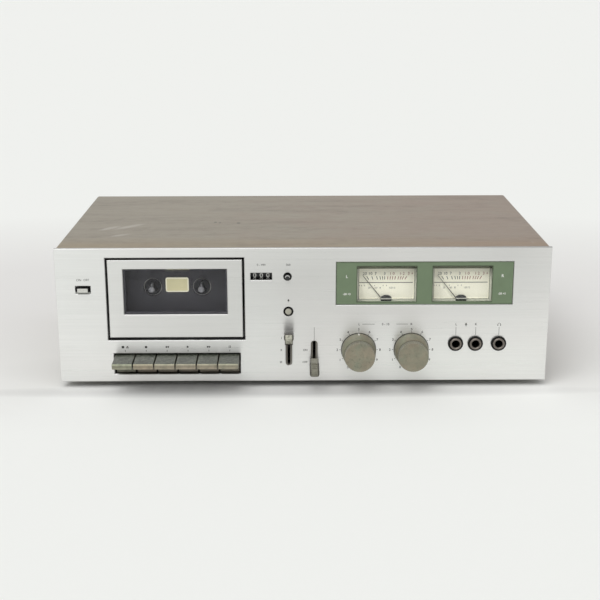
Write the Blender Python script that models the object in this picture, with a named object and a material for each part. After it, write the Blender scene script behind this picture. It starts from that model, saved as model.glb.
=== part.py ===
"""A front-loading stereo cassette deck, as the separate pieces that it is put together from.

Everything is measured from the front panel: x to the right from its middle, y back from its front face,
and z up from its lower edge. One empty carries all pieces and puts the deck's middle over the world's origin,
with its feet on z = 0. Lengths are in metres and angles in degrees.
"""
import math

import bmesh
import bpy
from mathutils import Matrix

for leftover in list(bpy.data.objects):
    bpy.data.objects.remove(leftover)

# Clearances and allowances that all pieces share
GAP = 0.0003  # between touching pieces, and round a shaft
OVERRUN = 0.002  # how far a cut runs past the wall that it goes through
SINK = 0.0004  # how far a joined shape reaches into the one that carries it
WELD = 0.000001
SHEET = 0.0012  # steel sheet of the case
ROUND_STEPS = 24
SMALL_STEPS = 16
HIDDEN_STEPS = 12
CORNER_STEPS = 3
SMOOTH_ANGLE = 40

# Front panel, across: four bays side by side
POWER_BAY = 0.0425
CONTROL_BAY = 0.0778
METER_PLATE_WIDTH = 0.1505
RIGHT_MARGIN = 0.0316
CASSETTE_WIDTH = 0.1004
DOOR_SIDE = 0.0086  # from the cassette's side to the edge of the door's opening
DOOR_OPENING_WIDTH = CASSETTE_WIDTH + 2 * DOOR_SIDE
FASCIA_WIDTH = POWER_BAY + DOOR_OPENING_WIDTH + CONTROL_BAY + METER_PLATE_WIDTH + RIGHT_MARGIN
LEFT = -FASCIA_WIDTH / 2
RIGHT = FASCIA_WIDTH / 2
DOOR_LEFT = LEFT + POWER_BAY
DOOR_RIGHT = DOOR_LEFT + DOOR_OPENING_WIDTH
DOOR_X = (DOOR_LEFT + DOOR_RIGHT) / 2
METER_PLATE_LEFT = DOOR_RIGHT + CONTROL_BAY
METER_X = METER_PLATE_LEFT + METER_PLATE_WIDTH / 2

# Front panel, upwards: the key bay, the door's opening and the margin over it
KEY_BAY = 0.03735
CASSETTE_HEIGHT = 0.0638
CASSETTE_LIFT = 0.00775  # from the opening's lower edge to the cassette's
CASSETTE_HEADROOM = 0.0013
TOP_MARGIN = 0.0083
DOOR_BOTTOM = KEY_BAY
DOOR_TOP = DOOR_BOTTOM + CASSETTE_LIFT + CASSETTE_HEIGHT + CASSETTE_HEADROOM
FASCIA_HEIGHT = DOOR_TOP + TOP_MARGIN
FASCIA_THICK = 0.0035
FASCIA_EDGE = 0.0005
CASSETTE_BOTTOM = DOOR_BOTTOM + CASSETTE_LIFT

# Black moulded frame behind the front panel
FRAME_THICK = 0.0025
FRAME_FRONT = FASCIA_THICK + GAP
FRAME_BACK = FRAME_FRONT + FRAME_THICK
FRAME_FOOT = 0.0010
FRAME_LIP = 0.0005  # how much larger its openings are than the panel's
FRAME_SILL = 0.0020  # under the keys, which come down behind the panel

# Case: cover, tray, rear panel and feet
PANEL_RAISE = 0.0055  # from the floor to the front panel's lower edge
COVER_INSET = 0.0008
COVER_DROP = 0.0002
COVER_DEPTH = 0.2276
COVER_BEND = 0.0020
CASE_FOOT = 0.0020  # lower edge of the cover, the tray and the rear panel
TRAY_FLANGE = 0.0150
REAR_INSET = 0.0006
COVER_HALF = FASCIA_WIDTH / 2 - COVER_INSET
COVER_TOP = FASCIA_HEIGHT - COVER_DROP
INSIDE_HALF = COVER_HALF - SHEET - GAP
INSIDE_TOP = COVER_TOP - SHEET - GAP
FLOOR = CASE_FOOT + SHEET
REAR_BACK = COVER_DEPTH - REAR_INSET
REAR_FRONT = REAR_BACK - SHEET
FOOT_RADIUS = 0.0100
FOOT_TOP_RADIUS = 0.0085
FOOT_EDGE = 0.0008
FOOT_INSET_X = 0.0360
FOOT_INSET_FRONT = 0.0420
FOOT_INSET_REAR = 0.0300
FOOT_HEIGHT = PANEL_RAISE + CASE_FOOT - GAP

# Cassette door, hinged at its foot
DOOR_PLATE_THICK = 0.0025
DOOR_PLATE_SIDE_GAP = 0.0018
DOOR_PLATE_FOOT_GAP = 0.00255
DOOR_PLATE_TOP_GAP = 0.0018
WINDOW_SIDE = 0.0129  # from the plate's side to the window
WINDOW_FOOT = 0.02055
WINDOW_HEAD = 0.0081
WINDOW_RECESS = 0.0006
WINDOW_LEDGE = 0.0015
HINGE_Y = 0.0055
HINGE_RISE = 0.0025  # from the plate's lower edge to the hinge's axis
HINGE_PIN_RADIUS = 0.0013
HINGE_EYE_RADIUS = 0.0026
HINGE_EYE_LENGTH = 0.0024
CARRIER_WALL = 0.0016
CARRIER_LIP = 0.0032
CARRIER_LEDGE_LENGTH = 0.0070
CASSETTE_THICK = 0.0120
CASSETTE_PLAY = 0.0005
PLATE_LEFT = DOOR_LEFT + DOOR_PLATE_SIDE_GAP
PLATE_RIGHT = DOOR_RIGHT - DOOR_PLATE_SIDE_GAP
PLATE_BOTTOM = DOOR_BOTTOM + DOOR_PLATE_FOOT_GAP
PLATE_TOP = DOOR_TOP - DOOR_PLATE_TOP_GAP
WINDOW_LEFT = PLATE_LEFT + WINDOW_SIDE
WINDOW_RIGHT = PLATE_RIGHT - WINDOW_SIDE
WINDOW_BOTTOM = PLATE_BOTTOM + WINDOW_FOOT
WINDOW_TOP = PLATE_TOP - WINDOW_HEAD
HINGE_Z = PLATE_BOTTOM + HINGE_RISE
CARRIER_FRONT = DOOR_PLATE_THICK + GAP
CASSETTE_FRONT = CARRIER_FRONT + CARRIER_WALL + CASSETTE_PLAY
CASSETTE_BACK = CASSETTE_FRONT + CASSETTE_THICK
CARRIER_BACK = CASSETTE_BACK + CASSETTE_PLAY + CARRIER_WALL
CARRIER_INNER_HALF = CASSETTE_WIDTH / 2 + CASSETTE_PLAY
CARRIER_HALF = CARRIER_INNER_HALF + CARRIER_WALL

# Cassette well and the steel plate that carries the transport
WELL_WALL = 0.0015
WELL_FRONT_GAP = 0.0023
WELL_BACK_THICK = 0.0018
WELL_SIDE_ROOM = 0.0012  # between the door's carrier and the well's back wall
WELL_OPENING_HALF = 0.0375  # half the gap for the heads and the pinch roller
WELL_OPENING_GAP = 0.0010  # over the capstan
RECESS_RADIUS = 0.0080
WELL_FRONT = FRAME_BACK + WELL_FRONT_GAP
WELL_FACE = CARRIER_BACK + WELL_SIDE_ROOM
WELL_BACK = WELL_FACE + WELL_BACK_THICK
WELL_BOTTOM = DOOR_BOTTOM + WELL_WALL - FRAME_LIP
WELL_TOP = DOOR_TOP + WELL_WALL
TRANSPORT_THICK = 0.0016
TRANSPORT_FRONT = WELL_BACK + GAP
TRANSPORT_BACK = TRANSPORT_FRONT + TRANSPORT_THICK
EAR_FOOT_LENGTH = 0.0090
EAR_REACH = 0.0060  # past the key shaft's axis
EAR_SHOULDER = 0.0150

# Reflector plate between the spindles
REFLECTOR_WIDTH = 0.0199
REFLECTOR_HEIGHT = 0.0129
REFLECTOR_THICK = 0.0010
REFLECTOR_CORNER = 0.0017
REFLECTOR_RISE = 0.0022  # of its middle over the spindles' axes
REFLECTOR_EDGE = 0.0003

# Reel spindles
SPINDLE_PITCH = 0.0425
SPINDLE_RISE = 0.0344  # over the cassette's lower edge
SPINDLE_RADIUS = 0.0028
SPINDLE_TIP_RADIUS = 0.0016
SPINDLE_TIP_LENGTH = 0.0018
SPINDLE_PROUD = 0.0110  # in front of the well's back wall
REEL_TABLE_RADIUS = 0.0072
REEL_TABLE_THICK = 0.0012
SPINDLE_SHAFT_RADIUS = 0.0015
SPINDLE_TAIL = 0.0030
FIN_COUNT = 3
FIN_RADIUS = 0.0046
FIN_THICK = 0.0012
FIN_SETBACK = 0.0022
SPINDLE_Z = CASSETTE_BOTTOM + SPINDLE_RISE
SPINDLE_PLACES = (DOOR_X - SPINDLE_PITCH / 2, DOOR_X + SPINDLE_PITCH / 2)

# Capstan, flywheel, motor and belt
CAPSTAN_OFFSET = 0.0285
CAPSTAN_RISE = 0.0079
CAPSTAN_RADIUS = 0.0012
CAPSTAN_TIP = 0.0070
CAPSTAN_TAIL = 0.0020
CAPSTAN_BUSH_RADIUS = 0.0035
CAPSTAN_BUSH_LENGTH = 0.0030
FLYWHEEL_RADIUS = 0.0235
FLYWHEEL_THICK = 0.0060
FLYWHEEL_RIM = 0.0040
FLYWHEEL_DISH = 0.0015
FLYWHEEL_HUB_RADIUS = 0.0050
MOTOR_RADIUS = 0.0160
MOTOR_LENGTH = 0.0280
MOTOR_OFFSET = 0.0363
MOTOR_SETBACK = 0.0030
MOTOR_BOSS_RADIUS = 0.0060
MOTOR_BOSS_LENGTH = 0.0020
MOTOR_SHAFT_RADIUS = 0.0010
MOTOR_SHAFT_SEAT = 0.0040
MOTOR_POST_RADIUS = 0.0025
MOTOR_POST_OFFSET = 0.0115
PULLEY_RADIUS = 0.0040
PULLEY_FLANGE = 0.0007
BELT_WIDTH = 0.0036
BELT_THICK = 0.0009
CAPSTAN_X = DOOR_X + CAPSTAN_OFFSET
CAPSTAN_Z = CASSETTE_BOTTOM + CAPSTAN_RISE
MOTOR_X = DOOR_X - MOTOR_OFFSET
FLYWHEEL_FRONT = TRANSPORT_BACK + CAPSTAN_BUSH_LENGTH + GAP
FLYWHEEL_BACK = FLYWHEEL_FRONT + FLYWHEEL_THICK
BELT_MIDDLE = (FLYWHEEL_FRONT + FLYWHEEL_BACK) / 2
MOTOR_FRONT = FLYWHEEL_BACK + MOTOR_SETBACK

# Head bridge, which slides up into the cassette, with its heads and pinch roller
BRIDGE_THICK = 0.0016
BRIDGE_HALF = 0.0340
BRIDGE_FOOT = 0.0026  # above the keys' arms
BRIDGE_TOP_DROP = 0.0031  # below the cassette
BRIDGE_TRAVEL = 0.0080
BRIDGE_STUD_OFFSET = 0.0225
BRIDGE_STUD_RADIUS = 0.0016
BRIDGE_STUD_HEAD = 0.0030
BRIDGE_STUD_HEAD_THICK = 0.0012
BRIDGE_STUD_DROP = 0.0035
HEAD_WIDTH = 0.0120
HEAD_HEIGHT = 0.0120
HEAD_CROWN = 0.0020
HEAD_SETBACK = 0.0006  # behind the frame
ERASE_HEAD_WIDTH = 0.0070
ERASE_HEAD_OFFSET = 0.0140
ERASE_HEAD_DROP = 0.0010
HEAD_DROP = 0.0018
PINCH_RADIUS = 0.0065
PINCH_WIDTH = 0.0076
PINCH_HUB_RADIUS = 0.0032
PINCH_HUB_PROUD = 0.0003
PINCH_PIN_RADIUS = 0.0012
BRIDGE_TOP = CASSETTE_BOTTOM - BRIDGE_TOP_DROP
BRIDGE_BACK = TRANSPORT_FRONT - GAP
BRIDGE_FRONT = BRIDGE_BACK - BRIDGE_THICK
STUD_Z = BRIDGE_TOP - BRIDGE_STUD_DROP
STUD_PLACES = (DOOR_X - BRIDGE_STUD_OFFSET, DOOR_X + BRIDGE_STUD_OFFSET - PINCH_RADIUS)
PINCH_Z = CAPSTAN_Z - CAPSTAN_RADIUS - PINCH_RADIUS - BRIDGE_TRAVEL - GAP
PINCH_MIDDLE = (CASSETTE_FRONT + CASSETTE_BACK) / 2

# Keys on one shaft
KEY_NAMES = ("stop_key", "record_key", "rewind_key", "play_key", "forward_key", "pause_key")
KEY_PITCH = 0.0180
KEY_SPLIT = 0.0010
KEY_ROOM = 0.0004  # from the outer keys' pitch to the sides of the opening
KEY_PLATE_SPLIT = 0.00165
KEY_OPENING_BOTTOM = 0.0069
KEY_OPENING_TOP = 0.0255
KEY_REACH = 0.0215
KEY_TOP = 0.0240
KEY_LIP_TOP = 0.0233
KEY_LIP_BOTTOM = 0.0186
KEY_UNDERSIDE = 0.0182
KEY_UNDERCUT = 0.0020
KEY_EDGE = 0.0004
KEY_PLATE_THICK = 0.0020
KEY_PLATE_BOTTOM = 0.0073
KEY_PLATE_GAP = 0.0008
KEY_ARM_BOTTOM = 0.0165
KEY_ARM_TOP = 0.0222
KEY_ARM_WIDTH = 0.0060
KEY_SHAFT_Y = 0.0450
KEY_SHAFT_Z = 0.0200
KEY_SHAFT_RADIUS = 0.0020
KEY_SHAFT_CLIP_RADIUS = 0.0034
KEY_SHAFT_CLIP_LENGTH = 0.0008
KEY_HUB_RADIUS = 0.0042
KEYS_HALF = len(KEY_NAMES) * KEY_PITCH / 2
KEYS_LEFT = DOOR_X - KEYS_HALF - KEY_ROOM
KEYS_RIGHT = DOOR_X + KEYS_HALF + KEY_ROOM
EAR_INNER_HALF = KEYS_HALF + GAP
EAR_OUTER_HALF = EAR_INNER_HALF + TRANSPORT_THICK
WELL_HALF = EAR_OUTER_HALF
BRIDGE_BOTTOM = KEY_ARM_TOP + BRIDGE_FOOT

# Power button and switch
POWER_OFFSET = 0.0232  # from the panel's left edge
POWER_Z = 0.0825
POWER_OPENING_WIDTH = 0.0124
POWER_OPENING_HEIGHT = 0.0065
POWER_BUTTON_WIDTH = 0.0092
POWER_BUTTON_HEIGHT = 0.0038
POWER_BUTTON_PROUD = 0.0024
POWER_BUTTON_EDGE = 0.0006
POWER_STEM_WIDTH = 0.0030
POWER_STEM_LENGTH = 0.0180
POWER_TRAVEL = 0.0025
SWITCH_WIDTH = 0.0160
SWITCH_HEIGHT = 0.0140
SWITCH_LENGTH = 0.0280
SWITCH_LUG_WIDTH = 0.0030
SWITCH_LUG_LENGTH = 0.0050
SWITCH_LUG_THICK = 0.0008
POWER_X = LEFT + POWER_OFFSET

# Tape counter
COUNTER_OFFSET = 0.0143  # from the door's opening
COUNTER_TOP_DROP = 0.0248  # of its middle below the panel's top
COUNTER_WINDOW_WIDTH = 0.0180
COUNTER_WINDOW_HEIGHT = 0.0062
COUNTER_WHEEL_RADIUS = 0.0062
COUNTER_WHEEL_WIDTH = 0.0052
COUNTER_WHEEL_PITCH = 0.0056
COUNTER_WHEEL_SETBACK = 0.0018
COUNTER_AXLE_RADIUS = 0.0011
COUNTER_SIDE_THICK = 0.0012
COUNTER_CHEEK_HEIGHT = 0.0150
COUNTER_FRAME_HEIGHT = 0.0130  # of the frame's opening, which the wheels reach into
COUNTER_BACK_GAP = 0.0010
COUNTER_NAMES = ("counter_hundreds", "counter_tens", "counter_units")
COUNTER_X = DOOR_RIGHT + COUNTER_OFFSET
COUNTER_Z = FASCIA_HEIGHT - COUNTER_TOP_DROP
COUNTER_AXLE_Y = FASCIA_THICK + COUNTER_WHEEL_SETBACK + COUNTER_WHEEL_RADIUS

# Round push buttons, each in a sleeve of the frame
RESET_OFFSET = 0.0366  # from the door's opening
RESET_HOLE_RADIUS = 0.0032
RESET_RADIUS = 0.0022
RESET_PROUD = 0.0050
MICROPHONE_OFFSET = 0.0372
MICROPHONE_Z = 0.0629
MICROPHONE_HOLE_RADIUS = 0.0039
MICROPHONE_RADIUS = 0.0028
MICROPHONE_PROUD = 0.0014
BUTTON_EDGE = 0.0006
BUTTON_STEM_RADIUS = 0.0016
BUTTON_TRAVEL = 0.0016
BUTTON_COLLAR_RADIUS = 0.0024
BUTTON_COLLAR_LENGTH = 0.0012
SLEEVE_WALL = 0.0012
SLEEVE_LENGTH = 0.0050
SLEEVE_END = FRAME_BACK + SLEEVE_LENGTH
RESET_X = DOOR_RIGHT + RESET_OFFSET
MICROPHONE_X = DOOR_RIGHT + MICROPHONE_OFFSET
BUTTON_PLACES = ((RESET_X, COUNTER_Z), (MICROPHONE_X, MICROPHONE_Z))

# Lever switches, which swing on one bracket behind the frame
TAPE_LEVER_OFFSET = 0.0375  # from the door's opening
NOISE_LEVER_OFFSET = 0.0593
TAPE_SLOT_Z = 0.0282
TAPE_SLOT_LENGTH = 0.0274
TAPE_STOP = 0.0109  # from the middle position to either end, on the panel
NOISE_SLOT_Z = 0.02265
NOISE_SLOT_LENGTH = 0.0273
NOISE_STOP = 0.00545
SLOT_WIDTH = 0.0050
SLOT_CORE_WIDTH = 0.0028
LEVER_PIVOT_DEPTH = 0.0320
LEVER_LENGTH = 0.0544
LEVER_GRIP_LENGTH = 0.0186
LEVER_GRIP_WIDTH = 0.0082
LEVER_GRIP_HEIGHT = 0.0066
LEVER_GRIP_EDGE = 0.0020
LEVER_RIB_COUNT = 4
LEVER_RIB_DEPTH = 0.0004
LEVER_RIB_WIDTH = 0.0008
LEVER_BLADE_WIDTH = 0.0019
LEVER_BLADE_HEIGHT = 0.0030
LEVER_HUB_RADIUS = 0.0040
LEVER_HUB_WIDTH = 0.0070
LEVER_PIN_RADIUS = 0.0015
BRACKET_WALL = 0.0015
BRACKET_BACK_GAP = 0.0060
BRACKET_HEIGHT = 0.0420
BRACKET_CHEEK_REACH = 0.0060
TAPE_LEVER_X = DOOR_RIGHT + TAPE_LEVER_OFFSET
NOISE_LEVER_X = DOOR_RIGHT + NOISE_LEVER_OFFSET
TAPE_REST_ANGLE = math.degrees(math.atan2(TAPE_STOP, LEVER_PIVOT_DEPTH))
NOISE_REST_ANGLE = -math.degrees(math.atan2(NOISE_STOP, LEVER_PIVOT_DEPTH))

# Meter plate, lens, meters and needles
METER_PLATE_HEIGHT = 0.0377
METER_PLATE_DROP = 0.01245  # below the panel's top
METER_PLATE_RECESS = 0.0007
METER_PLATE_EDGE = 0.0002
METER_WINDOW_WIDTH = 0.0504
METER_WINDOW_HEIGHT = 0.0312
METER_WINDOW_FOOT = 0.0025
METER_BRIDGE = 0.0138  # between the two windows
METER_PITCH = METER_WINDOW_WIDTH + METER_BRIDGE
METER_LENS_LEDGE = 0.0020
METER_LENS_THICK = 0.0015
METER_WALL = 0.0020
METER_BODY_DEPTH = 0.0200
METER_FOOT_DROP = 0.0115
METER_DIAL_DEPTH = 0.0042
NEEDLE_PIVOT_DROP = 0.0039  # below the window
NEEDLE_LENGTH = 0.0323
NEEDLE_TAIL = 0.0040
NEEDLE_WIDTH = 0.0007
NEEDLE_THICK = 0.0005
NEEDLE_HUB_RADIUS = 0.0022
NEEDLE_HUB_THICK = 0.0016
NEEDLE_SHAFT_RADIUS = 0.0007
NEEDLE_SEAT = 0.0030
NEEDLE_REST_ANGLE = -38.7
METER_BODY_WIDTH_MARGIN = 0.0030
METER_TOP = FASCIA_HEIGHT - METER_PLATE_DROP
METER_BOTTOM = METER_TOP - METER_PLATE_HEIGHT
METER_WINDOW_BOTTOM = METER_BOTTOM + METER_WINDOW_FOOT
METER_WINDOW_TOP = METER_WINDOW_BOTTOM + METER_WINDOW_HEIGHT
NEEDLE_Z = METER_WINDOW_BOTTOM - NEEDLE_PIVOT_DROP
METER_FRONT = FRAME_BACK + GAP
DIAL_Y = METER_FRONT + METER_DIAL_DEPTH
METER_PLACES = (METER_X - METER_PITCH / 2, METER_X + METER_PITCH / 2)
LENS_LEFT = METER_PLACES[0] - METER_WINDOW_WIDTH / 2 - METER_LENS_LEDGE
LENS_RIGHT = METER_PLACES[1] + METER_WINDOW_WIDTH / 2 + METER_LENS_LEDGE
LENS_BOTTOM = METER_WINDOW_BOTTOM - METER_LENS_LEDGE
LENS_TOP = METER_WINDOW_TOP + METER_LENS_LEDGE

# Level controls
KNOB_OFFSET = 0.0424  # of their middle, from the meter plate's left edge
KNOB_PITCH = 0.0453
KNOB_Z = 0.0282
KNOB_RADIUS = 0.0147
KNOB_FRONT_RADIUS = 0.0142
KNOB_LENGTH = 0.0215
KNOB_STEP = 0.0050  # length of the smooth collar next to the panel
KNOB_EDGE = 0.0008
KNOB_CUP_RADIUS = 0.0118
KNOB_CUP_DEPTH = 0.0130
KNOB_BOSS_RADIUS = 0.0056
KNOB_FLUTES = 30
KNOB_FLUTE_DEPTH = 0.00035
CONTROL_SHAFT_RADIUS = 0.0030
CONTROL_SHAFT_END = 0.0150
BUSH_RADIUS = 0.0045
BUSH_PROUD = 0.0050
NUT_RADIUS = 0.0075
NUT_THICK = 0.0020
NUT_SIDES = 6
CONTROL_BODY_RADIUS = 0.0115
CONTROL_BODY_LENGTH = 0.0130
KNOB_MIDDLE = METER_PLATE_LEFT + KNOB_OFFSET
KNOB_PLACES = (KNOB_MIDDLE - KNOB_PITCH / 2, KNOB_MIDDLE + KNOB_PITCH / 2)

# Jack sockets
JACK_NAMES = ("microphone_jack_left", "microphone_jack_right", "headphone_jack")
JACK_OFFSETS = (0.1031, 0.1201, 0.1401)  # from the meter plate's left edge
JACK_Z = 0.0337
JACK_RING_RADIUS = 0.0066
JACK_RING_THICK = 0.0012
JACK_BUSH_RADIUS = 0.0050
JACK_BUSH_PROUD = 0.0020
JACK_BORE_RADIUS = 0.00318
JACK_BODY_WIDTH = 0.0150
JACK_BODY_LENGTH = 0.0260
JACK_BORE_LENGTH = 0.0300
JACK_PLACES = tuple(METER_PLATE_LEFT + offset for offset in JACK_OFFSETS)

# Rear sockets, cord bush, transformer and circuit board
LINE_INSET = 0.0560  # from the panel's right edge
LINE_Z = 0.0700
LINE_PITCH = 0.0150
LINE_PLATE = 0.0360
LINE_PLATE_CORNER = 0.0020
LINE_BARREL_RADIUS = 0.0042
LINE_BARREL_LENGTH = 0.0080
LINE_BORE_RADIUS = 0.0016
LINE_COLLAR_RADIUS = 0.0056
LINE_COLLAR_THICK = 0.0015
LINE_BLOCK = 0.0280
LINE_BLOCK_DEPTH = 0.0080
BUSHING_INSET = 0.0460  # from the panel's left edge
BUSHING_Z = 0.0300
BUSHING_RADIUS = 0.0060
BUSHING_FLANGE_RADIUS = 0.0085
BUSHING_FLANGE_THICK = 0.0020
BUSHING_BORE_RADIUS = 0.0036
BUSHING_NOSE = 0.0060
BUSHING_NOSE_RADIUS = 0.0050
BUSHING_TAIL = 0.0060
TRANSFORMER_INSET = 0.0480  # from the panel's left edge
TRANSFORMER_REAR_ROOM = 0.0542  # from the rear panel to its middle
TRANSFORMER_WIDTH = 0.0560
TRANSFORMER_DEPTH = 0.0260
TRANSFORMER_HEIGHT = 0.0480
COIL_WIDTH = 0.0320
COIL_DEPTH = 0.0460
COIL_HEIGHT = 0.0300
COIL_EDGE = 0.0040
TRANSFORMER_FOOT_WIDTH = 0.0760
TRANSFORMER_FOOT_DEPTH = 0.0240
TRANSFORMER_FOOT_THICK = 0.0020
BOARD_INSET = 0.1150  # from the panel's left edge
BOARD_RIGHT_MARGIN = 0.0150
BOARD_FRONT = 0.0900
BOARD_BACK_MARGIN = 0.0180
BOARD_RISE = 0.0090
BOARD_THICK = 0.0016
BOARD_POST_RADIUS = 0.0030
BOARD_POST_INSET = 0.0080
CAPACITOR_RADIUS = 0.0080
CAPACITOR_HEIGHT = 0.0260
CAPACITOR_SHARES = ((0.10, 0.80), (0.20, 0.80), (0.10, 0.55), (0.45, 0.75))
CAN_WIDTH = 0.0120
CAN_HEIGHT = 0.0140
CAN_SHARES = ((0.70, 0.70), (0.80, 0.70), (0.70, 0.40), (0.80, 0.40), (0.45, 0.35))
SLIDE_SWITCH_LENGTH = 0.0700
SLIDE_SWITCH_WIDTH = 0.0100
SLIDE_SWITCH_HEIGHT = 0.0100
SLIDE_SWITCH_SHARE = (0.40, 0.16)
LINE_X = RIGHT - LINE_INSET
BUSHING_X = LEFT + BUSHING_INSET

# How deep the deck is, and where its middle lies
LINE_FRONT = REAR_BACK + GAP
REAR_REACH = LINE_FRONT + LINE_COLLAR_THICK + LINE_BARREL_LENGTH
FRONT_REACH = KNOB_LENGTH + GAP
FRONT_Y = (FRONT_REACH - REAR_REACH) / 2

deck = bpy.data.objects.new("deck", None)
deck.location = (0, FRONT_Y, PANEL_RAISE)
bpy.context.scene.collection.objects.link(deck)


def finish(name, colour, roughness, metallic=0):
    """A material of one colour for a sub-part."""
    material = bpy.data.materials.new(name)
    material.use_nodes = True
    shader = material.node_tree.nodes["Principled BSDF"]
    shader.inputs["Base Color"].default_value = (*colour, 1)
    shader.inputs["Roughness"].default_value = roughness
    shader.inputs["Metallic"].default_value = metallic
    return material


ALUMINIUM = finish("brushed_aluminium", (0.70, 0.71, 0.68), 0.38, 1)
VINYL = finish("wood_vinyl", (0.30, 0.26, 0.21), 0.55)
STEEL = finish("plated_steel", (0.55, 0.54, 0.50), 0.42, 1)
BRIGHT = finish("bright_metal", (0.75, 0.75, 0.74), 0.18, 1)
BLACK = finish("black_plastic", (0.022, 0.022, 0.024), 0.48)
KEY_GREY = finish("key_grey", (0.25, 0.26, 0.22), 0.42)
KNOB_GREY = finish("knob_grey", (0.34, 0.33, 0.28), 0.50)
LIGHT_GREY = finish("light_grey", (0.50, 0.50, 0.44), 0.45)
GREEN = finish("meter_green", (0.12, 0.20, 0.12), 0.50)
CREAM = finish("cream", (0.80, 0.75, 0.58), 0.55)
SMOKE = finish("smoked_acrylic", (0.05, 0.05, 0.055), 0.12)
CLEAR = finish("clear_acrylic", (0.85, 0.86, 0.85), 0.08)
RUBBER = finish("black_rubber", (0.03, 0.03, 0.03), 0.85)
BOARD_BROWN = finish("board_brown", (0.30, 0.20, 0.10), 0.60)
IRON = finish("lacquered_iron", (0.16, 0.15, 0.14), 0.60, 1)


def closed_mesh(bm):
    """Welds the shape, turns its faces outwards and returns it as a mesh."""
    bmesh.ops.remove_doubles(bm, verts=bm.verts, dist=WELD)
    bmesh.ops.recalc_face_normals(bm, faces=bm.faces)
    mesh = bpy.data.meshes.new("shape")
    bm.to_mesh(mesh)
    bm.free()
    return mesh


def arc(across, up, radius, start, end, steps):
    """Points of an arc, between two angles in degrees."""
    angles = [math.radians(start + (end - start) * step / steps) for step in range(steps + 1)]
    return [(across + radius * math.cos(angle), up + radius * math.sin(angle)) for angle in angles]


def circle(across, up, radius, steps=ROUND_STEPS):
    return arc(across, up, radius, 0, 360, steps)[:-1]


def rectangle(left, right, bottom, top, corner=0):
    """An outline with square corners, or with round ones of the radius given."""
    if not corner:
        return [(left, bottom), (right, bottom), (right, top), (left, top)]
    places = (
        (right - corner, top - corner, 0),
        (left + corner, top - corner, 90),
        (left + corner, bottom + corner, 180),
        (right - corner, bottom + corner, 270),
    )
    outline = []
    for across, up, turn in places:
        outline += arc(across, up, corner, turn, turn + 90, CORNER_STEPS)
    return outline


def middle_rectangle(across, up, width, height, corner=0):
    return rectangle(across - width / 2, across + width / 2, up - height / 2, up + height / 2, corner)


def slot(across, bottom, top, width):
    """An upright slot with round ends."""
    radius = width / 2
    return (
        arc(across, top - radius, radius, 0, 180, 2 * CORNER_STEPS)
        + arc(across, bottom + radius, radius, 180, 360, 2 * CORNER_STEPS)
    )


# For each axis, the turn that takes a flat outline and its thickness to that axis
TURNS = {
    "x": Matrix(((0, 0, 1), (1, 0, 0), (0, 1, 0))).to_4x4(),
    "y": Matrix(((1, 0, 0), (0, 0, 1), (0, 1, 0))).to_4x4(),
    "z": Matrix.Identity(4),
}


def prism(outline, axis, start, end, edge=0, holes=()):
    """An outline with its holes, drawn out along an axis. An edge above zero bevels all its rims."""
    curve = bpy.data.curves.new("outline", "CURVE")
    curve.dimensions = "2D"
    curve.fill_mode = "BOTH"
    curve.extrude = (end - start) / 2 - edge
    curve.bevel_depth = edge
    curve.bevel_resolution = 0
    curve.offset = -edge
    for loop in (outline, *[hole[::-1] for hole in holes]):
        spline = curve.splines.new("POLY")
        spline.points.add(len(loop) - 1)
        spline.use_cyclic_u = True
        for point, (across, up) in zip(spline.points, loop):
            point.co = (across, up, 0, 1)
    drawn = bpy.data.objects.new("outline", curve)
    bpy.context.scene.collection.objects.link(drawn)
    bpy.context.view_layer.update()
    evaluated = drawn.evaluated_get(bpy.context.evaluated_depsgraph_get())
    bm = bmesh.new()
    bm.from_mesh(evaluated.to_mesh())
    evaluated.to_mesh_clear()
    bpy.data.objects.remove(drawn)
    place = TURNS[axis] @ Matrix.Translation((0, 0, (start + end) / 2))
    bmesh.ops.transform(bm, matrix=place, verts=bm.verts)
    return closed_mesh(bm)


def block(left, right, front, back, bottom, top, edge=0):
    """A box between six planes, with bevelled edges if an edge is given."""
    bm = bmesh.new()
    bmesh.ops.create_cube(bm, size=1)
    bmesh.ops.scale(bm, vec=(right - left, back - front, top - bottom), verts=bm.verts)
    middle = ((left + right) / 2, (front + back) / 2, (bottom + top) / 2)
    bmesh.ops.translate(bm, vec=middle, verts=bm.verts)
    if edge:
        bmesh.ops.bevel(
            bm, geom=bm.edges, offset=edge, segments=2, profile=0.5, affect="EDGES", clamp_overlap=True
        )
    return closed_mesh(bm)


def turned(profile, axis, centre, steps=ROUND_STEPS, flutes=None):
    """A profile of (radius, place along the axis) points, spun about an axis through the centre.

    flutes is (depth, first, last): every second point of the rings between these two profile points is cut
    back by the depth, as on a knob's grip.
    """
    bm = bmesh.new()
    points = [bm.verts.new((radius, 0, along)) for radius, along in profile]
    pairs = zip(points, points[1:] + points[:1])
    edges = [bm.edges.new(pair) for pair in pairs if any(point.co.x for point in pair)]
    bmesh.ops.spin(
        bm, geom=points + edges, cent=(0, 0, 0), axis=(0, 0, 1), angle=2 * math.pi, steps=steps, use_merge=True
    )
    bmesh.ops.remove_doubles(bm, verts=bm.verts, dist=WELD)
    if flutes:
        depth, first, last = flutes
        low, high = sorted((first, last))
        for vert in bm.verts:
            turn = math.degrees(math.atan2(vert.co.y, vert.co.x)) / 360 * steps
            if low - WELD <= vert.co.z <= high + WELD and vert.co.xy.length > depth and round(turn) % 2:
                vert.co.xy = vert.co.xy * (1 - depth / vert.co.xy.length)
    bmesh.ops.dissolve_degenerate(bm, dist=WELD, edges=bm.edges)
    bmesh.ops.transform(bm, matrix=Matrix.Translation(centre) @ TURNS[axis], verts=bm.verts)
    return closed_mesh(bm)


def rod(axis, centre, radius, start, end, steps=HIDDEN_STEPS):
    """A plain round bar. The centre's place along the axis is zero."""
    return turned([(0, start), (radius, start), (radius, end), (0, end)], axis, centre, steps)


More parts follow.
